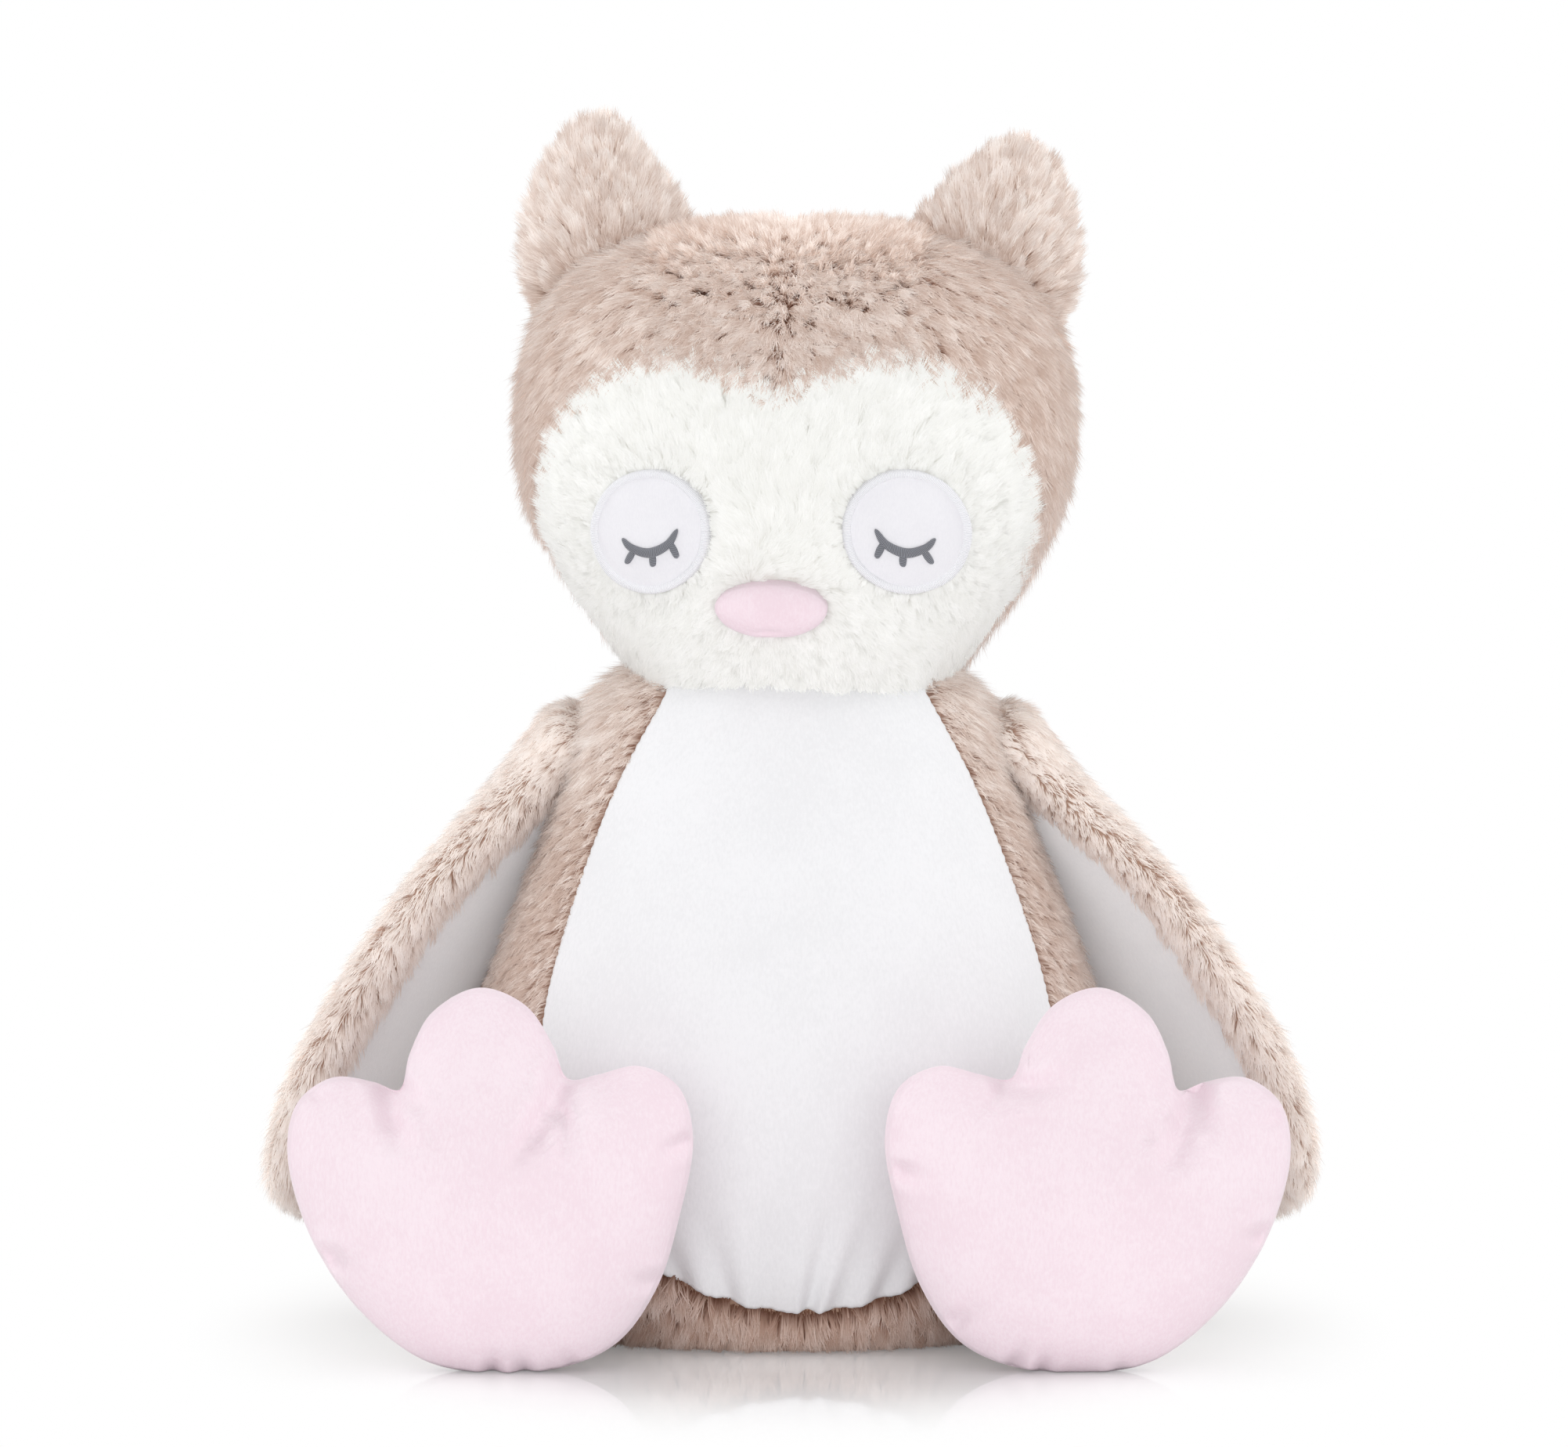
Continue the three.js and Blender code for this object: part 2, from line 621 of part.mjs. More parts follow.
// Head, with the ears, eyes and beak that are sewn to it
function buildHead() {
  const group = new THREE.Group();
  group.applyMatrix4(headPose);
  const headFront = -(headHalfDepth + headForwardLow + overrun);
  const headBack = headHalfDepth + overrun;
  const headWide = headHalfWidth + overrun;
  const headTop = headHeight + overrun;

  const outer = skinOf(headForm);
  const skin = outer.subtract(coreOf(headForm, skinThickness));
  const filling = coreOf(headForm, skinThickness + fitGap);

  const faceSide = faceShares.map(([out, up]) => [out * faceHalfWidth, lerp(faceBottom, faceTop, up)]);
  const faceSeam = smoothOutline(bothSides(faceSide), outlineSteps);
  const faceHub = new THREE.Vector3(0, 0, lerp(faceBottom, faceTop, 1 / 2));
  const faceCut = seamFan(headForm, faceSeam, faceHub);
  const faceKeepOut = seamFan(headForm, grown(faceSeam, seamGap), faceHub);

  const crownSeam = (by) => {
    const [low, high] = [napeHalfWidth + by, crownHalfWidth + by];
    return [
      new THREE.Vector2(-low, napeHeight - by),
      new THREE.Vector2(low, napeHeight - by),
      new THREE.Vector2(high, crownLevel),
      new THREE.Vector2(high, headTop),
      new THREE.Vector2(-high, headTop),
      new THREE.Vector2(-high, crownLevel),
    ];
  };
  const crowns = skin.intersect(frontPrism(crownSeam(0), headBack, headFront)).subtract(faceKeepOut);
  const sides = skin.subtract(frontPrism(crownSeam(seamGap), headBack, headFront)).subtract(faceKeepOut);
  const leftHalf = block(seamGap / 2, headWide, headFront, headBack, 0, headTop);
  const rightHalf = block(-headWide, -seamGap / 2, headFront, headBack, 0, headTop);

  group.add(
    meshOf("head_filling", filling, fibre),
    meshOf("crown_left", crowns.intersect(leftHalf), pile),
    meshOf("crown_right", crowns.intersect(rightHalf), pile),
    meshOf("head_side_left", sides.intersect(leftHalf), pile),
    meshOf("head_side_right", sides.intersect(rightHalf), pile),
    meshOf("face_panel", skin.intersect(faceCut), facePile),
  );

  const headKeepOut = skinOf(headForm, fitGap);
  for (const name of ["left", "right"]) {
    const ear = earForms(name, thinSkinThickness);
    const pose = new THREE.Group();
    pose.scale.x = ear.side;
    const skinOutside = ear.skin.subtract(headKeepOut);
    pose.add(
      meshOf("ear_" + name + "_front", skinOutside.intersect(ear.front), pile),
      meshOf("ear_" + name + "_back", skinOutside.intersect(ear.back), pile),
      meshOf("ear_" + name + "_filling", ear.filling.subtract(headKeepOut), fibre),
    );
    group.add(pose);
  }

  // Each eye lies in layers on the face: the velour patch, the border round it, and the thread on it.
  const layer = (low, high) => skinOf(headForm, high).subtract(skinOf(headForm, low));
  const eyeX = eyeSpacing / 2;
  const circle = (radius) => {
    const arc = new THREE.Path().absarc(eyeX, eyeHeight, radius, 0, 2 * Math.PI);
    return arc.getSpacedPoints(outlineSteps / 2 + 1).slice(0, -1);
  };
  const patchRadius = eyeRadius - borderWidth;
  const disc = (radius) => frontPrism(circle(radius), -faceFrontDepth, headFront);
  const patch = layer(fitGap, fitGap + patchThickness).intersect(disc(patchRadius - seamGap));
  const ring = disc(eyeRadius).subtract(disc(patchRadius));
  const border = layer(fitGap, fitGap + borderThickness).intersect(ring);
  const onPatch = ([out, down]) => [eyeX + out * eyeAcross, eyeHeight - down * eyeDrop];
  let strokes = stroke(lidShares.map(onPatch), lidStroke, -faceFrontDepth, headFront);
  for (const lash of lashShares) {
    strokes = strokes.add(stroke(lash.map(onPatch), lashStroke, -faceFrontDepth, headFront));
  }
  const threadLow = patchThickness + 2 * fitGap;
  const lashes = layer(threadLow, threadLow + threadThickness).intersect(strokes);
  for (const [name, side] of [["left", 1], ["right", -1]]) {
    const pose = new THREE.Group();
    pose.scale.x = side;
    pose.add(
      meshOf("eye_patch_" + name, patch, eyeVelour),
      meshOf("eye_border_" + name, border, satinThread),
      meshOf("lashes_" + name, lashes, greyThread),
    );
    group.add(pose);
  }

  // The beak is a stuffed lens on the front of the face.
  const beakGeometry = new THREE.SphereGeometry(1, 16, 8);
  beakGeometry.rotateX(Math.PI / 2);
  beakGeometry.scale(beakHalfWidth, beakHalfDepth, beakHalfHeight);
  const onFace = frontSpot(headForm, 0, beakHeight);
  beakGeometry.translate(onFace.x, onFace.y, onFace.z);
  group.add(meshOf("beak", solidOf(beakGeometry).subtract(headKeepOut), pinkVelour));
  return group;
}

// Wings, in the frame of the left shoulder. Each ring stands across a smooth line from the shoulder to the tip.
function wingRings(twistDegrees, grow, steps, fromShare, toShare, section) {
  const keys = wingShares.map(([out, down, back, chord, thick, twist]) => ({
    place: new THREE.Vector3(out * wingRun, back * wingBack, -down * wingDrop),
    size: new THREE.Vector3(chord * wingHalfWidth, thick * wingHalfThickness, twist * radians(twistDegrees)),
  }));
  const line = new THREE.CatmullRomCurve3(keys.map((key) => key.place));
  const sizes = new THREE.CatmullRomCurve3(keys.map((key) => key.size));
  return Array.from({ length: steps + 1 }, (_, k) => {
    const share = lerp(fromShare, toShare, k / steps);
    const way = line.getTangent(share).setY(0).normalize();
    const { x: chord, y: thick, z: twist } = sizes.getPoint(share);
    const across = new THREE.Vector3(0, 1, 0).applyAxisAngle(way, -twist);
    const outward = new THREE.Vector3().crossVectors(way, across);
    const room = Math.min(chord, thick) + grow > 0;
    const halfChord = room ? chord + grow : 0;
    const halfThick = room ? thick + grow : 0;
    const place = line.getPoint(share);
    const at = (u, v, w = 0) => place.clone()
      .addScaledVector(across, u)
      .addScaledVector(outward, v)
      .addScaledVector(way, w);
    return section(halfChord, halfThick, at);
  });
}

function wingForm(twistDegrees, grow) {
  const turn = (_, j) => (2 * Math.PI * j) / wingAround;
  const angles = Array.from({ length: wingAround }, turn);
  const oval = (chord, thick, at, tilt = 0) => angles.map((angle) => {
    const [u, v] = ovalPoint(angle, chord, thick, wingRoundness);
    return at(u, v * Math.cos(tilt), -Math.abs(v) * Math.sin(tilt));
  });
  const span = wingRings(twistDegrees, grow, wingSteps, 0, 1, (chord, thick, at) => oval(chord, thick, at));
  const tilts = [Math.PI / 2, Math.PI / 3, Math.PI / 6];
  const cap = tilts.map((tilt) => wingRings(
    twistDegrees, grow, 1, 0, 1, (chord, thick, at) => oval(chord, thick, at, tilt),
  )[0]);
  return solidOf(loft([...cap, ...span], false));
}

// The part of the inner face that the white lining covers.
function liningCut(twistDegrees, grow) {
  const section = (chord, thick, at) => {
    const half = chord - liningMargin + grow;
    const [low, high] = [-thick - overrun, grow - thick * liningLipShare];
    return [at(-half, low), at(half, low), at(half, high), at(-half, high)];
  };
  const [start, end] = liningReachShares;
  const growShare = grow / Math.hypot(wingRun, wingDrop);
  return solidOf(loft(wingRings(twistDegrees, 0, wingSteps, start - growShare, end + growShare, section)));
}

function buildWing(name) {
  const side = name === "left" ? 1 : -1;
  const twist = wingTwist[name];
  const group = new THREE.Group();
  group.position.set(side * shoulderReach, 0, shoulderHeight);
  group.scale.x = side;
  group.updateMatrix();
  const bodySkin = stuffedForm(bodyForm, fitGap, aroundSkin, levelsSkin).applyMatrix4(bodyPose);
  const bodyNear = bodySkin.applyMatrix4(group.matrix.clone().invert());
  const lifted = (degrees) => {
    const turn = new THREE.Matrix4().makeRotationY(radians(degrees));
    return facingOut(bodyNear.clone().applyMatrix4(turn), side);
  };
  const bodies = liftCuts.map(lifted);
  const keepOut = bodies.reduce((sum, body) => sum.add(body)).subtract(solidOf(shoulderRoom(1)));
  const skin = wingForm(twist, 0).subtract(wingForm(twist, -thinSkinThickness)).subtract(keepOut);
  const filling = wingForm(twist, -thinSkinThickness - fitGap).subtract(keepOut);
  group.add(
    meshOf("wing_" + name + "_outer", skin.subtract(liningCut(twist, seamGap)), pile),
    meshOf("wing_" + name + "_lining", skin.intersect(liningCut(twist, 0)), whiteVelour),
    meshOf("wing_" + name + "_filling", filling, fibre),
  );
  return group;
}

// A leg and its foot, in the frame of the left hip
function legForm(grow) {
  const radius = hipRadius + grow;
  const ball = Array.from({ length: ballRings + 1 }, (_, i) => {
    const angle = (Math.PI * i) / (2 * ballRings);
    return new THREE.Vector2(i ? radius * Math.sin(angle) : 0, radius * Math.cos(angle));
  });
  const tube = [
    ...legShares.map(([out, along]) => new THREE.Vector2(out * legRadius + grow, -along * legLength)),
    new THREE.Vector2(0, -legLength),
  ];
  return solidOf(new THREE.LatheGeometry([...ball, ...tube].reverse(), legAround));
}

function footForm(grow) {
  const rise = -hipHeight - standDepth;
  const outline = smoothOutline(footShares.map(([u, v]) => [u * footHalfWidth, v * footHeight]), footSteps);
  const hub = new THREE.Vector2(0, footHubHeight);
  const geometry = pillow(outline, hub, footFrontBulge, footBackBulge, footRoundness, grow);
  return solidOf(geometry.translate(footOffset, -legLength, rise));
}

function buildLeg(name) {
  const side = name === "left" ? 1 : -1;
  const group = new THREE.Group();
  group.position.set(side * hipReach, -hipForward, hipHeight);
  group.scale.x = side;
  const far = 2 * footHeight;
  const floor = block(-far, far, -far, far, -far, -hipHeight);
  const front = block(-far, far, -far, -legLength - seamGap / 2, -far, far);
  const back = block(-far, far, -legLength + seamGap / 2, far, -far, far);
  const footSkin = footForm(0).subtract(footForm(-thinSkinThickness)).subtract(floor);
  const footFilling = footForm(-thinSkinThickness - fitGap).subtract(floor);
  const footKeepOut = footForm(fitGap);
  const legSkin = legForm(0).subtract(legForm(-skinThickness)).subtract(footKeepOut);
  const legFilling = legForm(-skinThickness - fitGap).subtract(footKeepOut);
  group.add(
    meshOf("leg_" + name + "_tube", legSkin, pile),
    meshOf("leg_" + name + "_filling", legFilling, fibre),
    meshOf("foot_" + name + "_front", footSkin.intersect(front), pinkVelour),
    meshOf("foot_" + name + "_back", footSkin.intersect(back), pinkVelour),
    meshOf("foot_" + name + "_filling", footFilling, fibre),
  );
  return group;
}

const owl = new THREE.Group();
owl.add(buildBody(), buildHead());
for (const name of ["left", "right"]) owl.add(buildWing(name), buildLeg(name));
export default owl;
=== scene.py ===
# %% [markdown]
# # A sitting plush owl
# The toy is sewn from flat panels of fabric: light brown pile on the head, ears, wings, sides and seat,
# long white pile on the face, smooth white velour on the belly and under the wings, and pink velour on the
# feet and the beak. Every panel is built here as the fabric it is. Pile is real geometry, many thousands of
# thin curved blades that lean over and gather in tufts, because its edge against the background is what
# makes a plush toy look soft.

import math

import bpy
import numpy as np
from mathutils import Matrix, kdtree


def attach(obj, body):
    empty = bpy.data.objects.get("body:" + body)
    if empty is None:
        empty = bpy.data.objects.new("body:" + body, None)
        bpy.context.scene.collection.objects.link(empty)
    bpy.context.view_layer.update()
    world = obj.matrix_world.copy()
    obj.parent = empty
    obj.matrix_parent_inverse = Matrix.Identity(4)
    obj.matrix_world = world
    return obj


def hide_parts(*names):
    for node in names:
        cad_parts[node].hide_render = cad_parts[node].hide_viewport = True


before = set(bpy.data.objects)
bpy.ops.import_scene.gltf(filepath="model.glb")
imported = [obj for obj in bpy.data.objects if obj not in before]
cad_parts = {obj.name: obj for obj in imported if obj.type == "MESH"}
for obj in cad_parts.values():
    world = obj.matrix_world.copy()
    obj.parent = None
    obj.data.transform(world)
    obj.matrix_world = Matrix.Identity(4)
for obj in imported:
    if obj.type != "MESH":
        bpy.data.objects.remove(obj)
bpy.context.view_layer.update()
MM = 0.001
SIDES = (("left", 1), ("right", -1))
rng = np.random.default_rng(20)


# %% [markdown]
# ## Camera and light
# The picture is taken from the front with a long lens, a little above the belly and level, and the frame is
# shifted down rather than the camera tilted, so upright edges stay upright. The room is plain and bright: a
# white sky that is a little brighter above, two soft lamps in front that reach in under the wings, and two
# behind for the outline. A single lamp would show the shape, but white pile needs light from all round, or
# its own shadows turn it grey.

# %% Camera
CAMERA_DISTANCE, CAMERA_HEIGHT = 1.700, 0.217
SENSOR_WIDTH, FOCAL = 36.0, 144.1
PICTURE_WIDTH, SHIFT_ACROSS, SHIFT_UP = 2003, -6.5, -259  # pixels

camera_data = bpy.data.cameras.new("camera")
camera_data.sensor_fit = "HORIZONTAL"
camera_data.sensor_width = SENSOR_WIDTH
camera_data.lens = FOCAL
camera_data.shift_x = SHIFT_ACROSS / PICTURE_WIDTH
camera_data.shift_y = SHIFT_UP / PICTURE_WIDTH
camera_data.clip_end = 20
camera = bpy.data.objects.new("camera", camera_data)
camera.location = (0, -CAMERA_DISTANCE, CAMERA_HEIGHT)
camera.rotation_euler = (math.pi / 2, 0, 0)
bpy.context.scene.collection.objects.link(camera)
bpy.context.scene.camera = camera
bpy.context.scene.view_settings.view_transform = "Standard"
print("picture width at the toy, m:", round(CAMERA_DISTANCE * SENSOR_WIDTH / FOCAL, 3))


# %% Node helpers
def nodes_of(tree):
    """Returns two helpers: one adds a node with its settings and inputs, the other links two sockets."""
    def add(kind, inputs=None, **settings):
        node = tree.nodes.new(kind if kind.startswith("Node") else "ShaderNode" + kind)
        for key, value in settings.items():
            setattr(node, key, value)
        for key, value in (inputs or {}).items():
            if isinstance(value, bpy.types.NodeSocket):
                tree.links.new(value, node.inputs[key])
            else:
                node.inputs[key].default_value = value
        return node

    return add, tree.links.new


def emptied(holder):
    """The node helpers of a world or material, with its first nodes taken out."""
    holder.use_nodes = True
    holder.node_tree.nodes.clear()
    return nodes_of(holder.node_tree)


def calc(add, operation, *values):
    """The result of a math node."""
    return add("Math", dict(enumerate(values)), operation=operation).outputs[0]


def ranged(add, value, start, end, low=0.0, high=1.0, soft=False):
    """A value that goes from low to high as the given one goes from start to end."""
    places = {"Value": value, "From Min": start, "From Max": end, "To Min": low, "To Max": high}
    return add("MapRange", places, interpolation_type="SMOOTHSTEP" if soft else "LINEAR").outputs[0]


def shade(red, green, blue):
    """A display colour from 0 to 255, as the linear colour that a socket wants."""
    values = np.array([red, green, blue]) / 255
    return (*np.where(values <= 0.04045, values / 12.92, ((values + 0.055) / 1.055) ** 2.4), 1)


print("display 128 is linear", round(float(shade(128, 128, 128)[0]), 3))

# %% World
WHITE = (1, 1, 1, 1)
SKY_LOW, SKY_HIGH = 0.55, 0.65

world = bpy.data.worlds.new("bright room")
bpy.context.scene.world = world
add, link = emptied(world)
split = add("SeparateXYZ", {"Vector": add("TexCoord").outputs["Generated"]})
strength = ranged(add, split.outputs["Z"], -1.0, 1.0, SKY_LOW, SKY_HIGH)
room = add("Background", {"Color": WHITE, "Strength": strength})
white = add("Background", {"Color": WHITE, "Strength": 1.0})
path = add("LightPath")
seen = calc(add, "MAXIMUM", path.outputs["Is Camera Ray"], path.outputs["Is Glossy Ray"])
seen = calc(add, "MAXIMUM", seen, path.outputs["Is Transmission Ray"])
mix = add("MixShader", {0: seen, 1: room.outputs[0], 2: white.outputs[0]})
add("OutputWorld", {"Surface": mix.outputs[0]})
print("sky:", SKY_LOW, "to", SKY_HIGH)

# %% Lamps
LAMP_SIZE, LAMP_TARGET = 0.9, np.array([0, 0, 0.15])
LAMPS = {"soft_lamp_left": ((-0.4, -1.65, 0.34), 4.3), "soft_lamp_right": ((0.4, -1.65, 0.30), 4.3),
         "soft_lamp_back_left": ((-1.2, 0.1, 1.1), 6.5), "soft_lamp_back_right": ((1.2, 0.1, 1.1), 6.5)}
for name, (place, power) in LAMPS.items():
    data = bpy.data.lights.new(name, "AREA")
    data.shape = "RECTANGLE"
    data.size = data.size_y = LAMP_SIZE
    data.energy = power
    lamp = bpy.data.objects.new(name, data)
    lamp.visible_glossy = False
    lamp.location = place
    aim = LAMP_TARGET - place
    tilt, turn = math.atan2(math.hypot(aim[0], aim[1]), -aim[2]), math.atan2(aim[1], aim[0]) - math.pi / 2
    lamp.rotation_euler = (tilt, 0, turn)
    bpy.context.scene.collection.objects.link(lamp)
print("lamps:", len(LAMPS))

# %% [markdown]
# ## Floor
# The toy sits on a glossy white table. Close to the toy the gloss mirrors it, and further out the table
# turns matt and bright. One glossy finish would be less work, but it would grey the background. So an oval
# mask round the toy mixes the two finishes, and another one veils the table with plain white.

# %% Floor
FLOOR_HALF = 3.0
OVAL = (1.5, 1.0, 1.0)
GLOSS_NEAR, GLOSS_FAR = 0.115, 0.25
HAZE_NEAR, HAZE_FAR, HAZE_LEAST = 0.135, 0.25, 0.17

floor_mesh = bpy.data.meshes.new("floor")
corners = [(x * FLOOR_HALF, y * FLOOR_HALF, 0) for x, y in ((-1, -1), (1, -1), (1, 1), (-1, 1))]
floor_mesh.from_pydata(corners, [], [(0, 1, 2, 3)])
floor = bpy.data.objects.new("floor", floor_mesh)
bpy.context.scene.collection.objects.link(floor)

table_top = bpy.data.materials.new("table top")
add, link = emptied(table_top)
ground = add("VectorMath", {0: add("NewGeometry").outputs["Position"], 1: OVAL}, operation="MULTIPLY")
away = add("VectorMath", {0: ground.outputs[0]}, operation="LENGTH").outputs["Value"]
gloss = add("BsdfPrincipled", {"Base Color": (0.97, 0.97, 0.97, 1), "Roughness": 0.05,
                               "Specular IOR Level": 0.5})
matt = add("BsdfPrincipled", {"Base Color": WHITE, "Roughness": 0.8, "Specular IOR Level": 0.0})
fade = ranged(add, away, GLOSS_FAR, GLOSS_NEAR, soft=True)
top = add("MixShader", {0: fade, 1: matt.outputs[0], 2: gloss.outputs[0]})
glow = add("Emission", {"Color": WHITE, "Strength": 1.0})
haze = ranged(add, away, HAZE_NEAR, HAZE_FAR, low=HAZE_LEAST, soft=True)
veil = calc(add, "MULTIPLY", add("LightPath").outputs["Is Camera Ray"], haze)
top = add("MixShader", {0: veil, 1: top.outputs[0], 2: glow.outputs[0]})
add("OutputMaterial", {"Surface": top.outputs[0]})
floor_mesh.materials.append(table_top)
print("gloss fades from", GLOSS_NEAR, "to", GLOSS_FAR, "m")

# %% [markdown]
# ## Finishes
# Three effects are shared by several fabrics, so each is a node group. Pile is darker at its foot than at
# its tip, partly the fibres' own colour and partly painted shade deep in the pile, and it changes from
# tuft to tuft. Velour has a short nap that lies in brushed patches, with a fine grain. Satin thread shows
# its strands, with a painted highlight on the crown of each strand and painted shade between strands.
# Pictures of cloth could be wrapped on instead, but patterns made from numbers stay sharp close up.

# %% Node group helpers
FLOAT, COLOR, VECTOR = "NodeSocketFloat", "NodeSocketColor", "NodeSocketVector"


def effect(name, inputs, outputs):
    """An empty shader node group with named inputs and outputs."""
    group = bpy.data.node_groups.new(name, "ShaderNodeTree")
    for label, (kind, value) in inputs.items():
        group.interface.new_socket(label, in_out="INPUT", socket_type=kind).default_value = value
    for label, kind in outputs.items():
        group.interface.new_socket(label, in_out="OUTPUT", socket_type=kind)
    add, link = nodes_of(group)
    return group, add, link, add("NodeGroupInput").outputs, add("NodeGroupOutput").inputs


MIX_FIRST, MIX_SECOND, MIX_RESULT = 6, 7, 2  # the places of a mix node's colour sockets


def blend_colors(add, factor, first, second, mode="MIX"):
    inputs = {0: factor, MIX_FIRST: first, MIX_SECOND: second}
    return add("Mix", inputs, data_type="RGBA", blend_type=mode).outputs[MIX_RESULT]


def color_socket(red, green, blue):
    return COLOR, (red, green, blue, 1)


print("node groups so far:", len(bpy.data.node_groups))

# %% Pile effect
pile_effect, add, link, given, made = effect(
    "pile from foot to tip",
    {"Foot": color_socket(0.3, 0.2, 0.15), "Body": color_socket(0.5, 0.4, 0.35),
     "Tip": color_socket(0.7, 0.6, 0.5), "Low": color_socket(0.8, 0.7, 0.65),
     "High": color_socket(1.2, 1.24, 1.28), "Tint": (FLOAT, 0.5), "Along": (FLOAT, 0.5)}, {"Color": COLOR})
# Partly painted shade: the pile darkens from tip to foot, for shade deep in the pile and its darker roots.
low = ranged(add, given["Along"], 0.0, 0.55, soft=True)
high = ranged(add, given["Along"], 0.45, 1.0)
body = blend_colors(add, low, given["Foot"], given["Body"])
tipped = blend_colors(add, high, body, given["Tip"])
spread = blend_colors(add, given["Tint"], given["Low"], given["High"])
link(blend_colors(add, 1.0, tipped, spread, "MULTIPLY"), made["Color"])
print(pile_effect.name, len(pile_effect.nodes), "nodes")

# %% Velour effect
velour_effect, add, link, given, made = effect(
    "brushed velour nap",
    {"Color": color_socket(0.9, 0.9, 0.9), "Shade": color_socket(0.8, 0.8, 0.8), "Patch Scale": (FLOAT, 40.0),
     "Grain Scale": (FLOAT, 2200.0), "Stretch": (VECTOR, (1, 1, 0.35)), "Amount": (FLOAT, 0.5)},
    {"Color": COLOR, "Height": FLOAT})
where = add("TexCoord").outputs["Object"]
patches = add("TexNoise", {"Vector": where, "Scale": given["Patch Scale"], "Detail": 3.0, "Roughness": 0.6})
lying = add("VectorMath", {0: where, 1: given["Stretch"]}, operation="MULTIPLY")
grain = add("TexNoise", {"Vector": lying.outputs[0], "Scale": given["Grain Scale"], "Detail": 3.0,
                         "Roughness": 0.65})
grain_share = calc(add, "MULTIPLY", grain.outputs["Fac"], 0.55)
both = calc(add, "MULTIPLY_ADD", patches.outputs["Fac"], 0.45, grain_share)
amount = calc(add, "MULTIPLY", ranged(add, both, 0.38, 0.62, soft=True), given["Amount"])
link(blend_colors(add, amount, given["Color"], given["Shade"]), made["Color"])
link(grain.outputs["Fac"], made["Height"])
print(velour_effect.name, len(velour_effect.nodes), "nodes")

# %% Thread effect
thread_effect, add, link, given, made = effect(
    "satin thread strands",
    {"Color": color_socket(0.9, 0.9, 0.9), "Shade": color_socket(0.7, 0.7, 0.7), "Strand": (FLOAT, 0.0)},
    {"Color": COLOR, "Height": FLOAT})
# Painted highlight and shade: each strand is light on its crown and dark in the groove between strands.
wave = calc(add, "COSINE", calc(add, "MULTIPLY", given["Strand"], 2 * math.pi))
ridge = ranged(add, wave, -1.0, 1.0)
link(blend_colors(add, ridge, given["Shade"], given["Color"]), made["Color"])
link(ridge, made["Height"])
print(thread_effect.name, len(thread_effect.nodes), "nodes")

# %% [markdown]
# Each fabric has its own material. Its plain values sit on the Principled shader, and an effect brings the
# pattern. The pile of the seat lies in the shade of the belly and the legs, and that shade is painted into
# its colour: it is a darker copy of the brown pile.

# %% Fabric helpers
PILE_MAP, STRAND_MAP = "OFBake", "strands"


def fabric(name, roughness, sheen=0.0, sheen_roughness=0.4, specular=0.3):
    """A material whose Principled shader holds its plain values; the pattern is linked in by the caller."""
    material = bpy.data.materials.new(name)
    add, link = emptied(material)
    plain = {"Roughness": roughness, "Specular IOR Level": specular, "Sheen Weight": sheen,
             "Sheen Roughness": sheen_roughness}
    cloth = add("BsdfPrincipled", plain)
    out = add("OutputMaterial", {"Surface": cloth.outputs[0]})
    return material, add, link, cloth, out


def drawn_on(add, name):
    return add("SeparateXYZ", {"Vector": add("UVMap", uv_map=name).outputs[0]}).outputs


def cover(add, link, cloth, pattern, bump, depth):
    """Links the colour of a pattern, and its height as a bump."""
    raised = add("Bump", {"Strength": bump, "Distance": depth, "Height": pattern.outputs["Height"]})
    link(pattern.outputs["Color"], cloth.inputs["Base Color"])
    link(raised.outputs[0], cloth.inputs["Normal"])


print("maps:", PILE_MAP, STRAND_MAP)

# %% Pile, velour and thread
LIGHT_THROUGH = 0.82  # the share of shadow and bounced light that passes between fibres


def pile_finish(name, slot, foot, middle, tip, low, high):
    """Pile: across its map runs the tint of each blade, and up it the way from foot to tip."""
    material, add, link, cloth, out = fabric(name, roughness=0.85, specular=0.15, sheen=0.4,
                                             sheen_roughness=0.5)
    drawn = drawn_on(add, PILE_MAP)
    values = {"Foot": shade(*foot), "Body": shade(*middle), "Tip": shade(*tip), "Low": (*low, 1),
              "High": (*high, 1), "Tint": drawn["X"], "Along": drawn["Y"]}
    pattern = add("Group", values, node_tree=pile_effect)
    link(pattern.outputs["Color"], cloth.inputs["Base Color"])
    path = add("LightPath")
    faint = calc(add, "MAXIMUM", path.outputs["Is Shadow Ray"], path.outputs["Is Diffuse Ray"])
    thin = calc(add, "MULTIPLY", faint, LIGHT_THROUGH)
    clear = add("BsdfTransparent")
    behind = add("BsdfTranslucent", {"Color": pattern.outputs["Color"]})
    back = add("NewGeometry").outputs["Backfacing"]
    lit = add("MixShader", {0: back, 1: cloth.outputs[0], 2: behind.outputs[0]})
    passed = add("MixShader", {0: thin, 1: lit.outputs[0], 2: clear.outputs[0]})
    link(passed.outputs[0], out.inputs["Surface"])
    return material


def velour_finish(name, color, darker, patch=40.0, grain=1500.0, amount=0.5, bump=0.25, sheen=0.25):
    material, add, link, cloth, _ = fabric(name, roughness=0.9, specular=0.12, sheen=sheen,
                                           sheen_roughness=0.35)
    values = {"Color": shade(*color), "Shade": shade(*darker), "Patch Scale": patch, "Grain Scale": grain,
              "Stretch": (1, 1, 0.35), "Amount": amount}
    pattern = add("Group", values, node_tree=velour_effect)
    cover(add, link, cloth, pattern, bump, 0.0004)
    return material


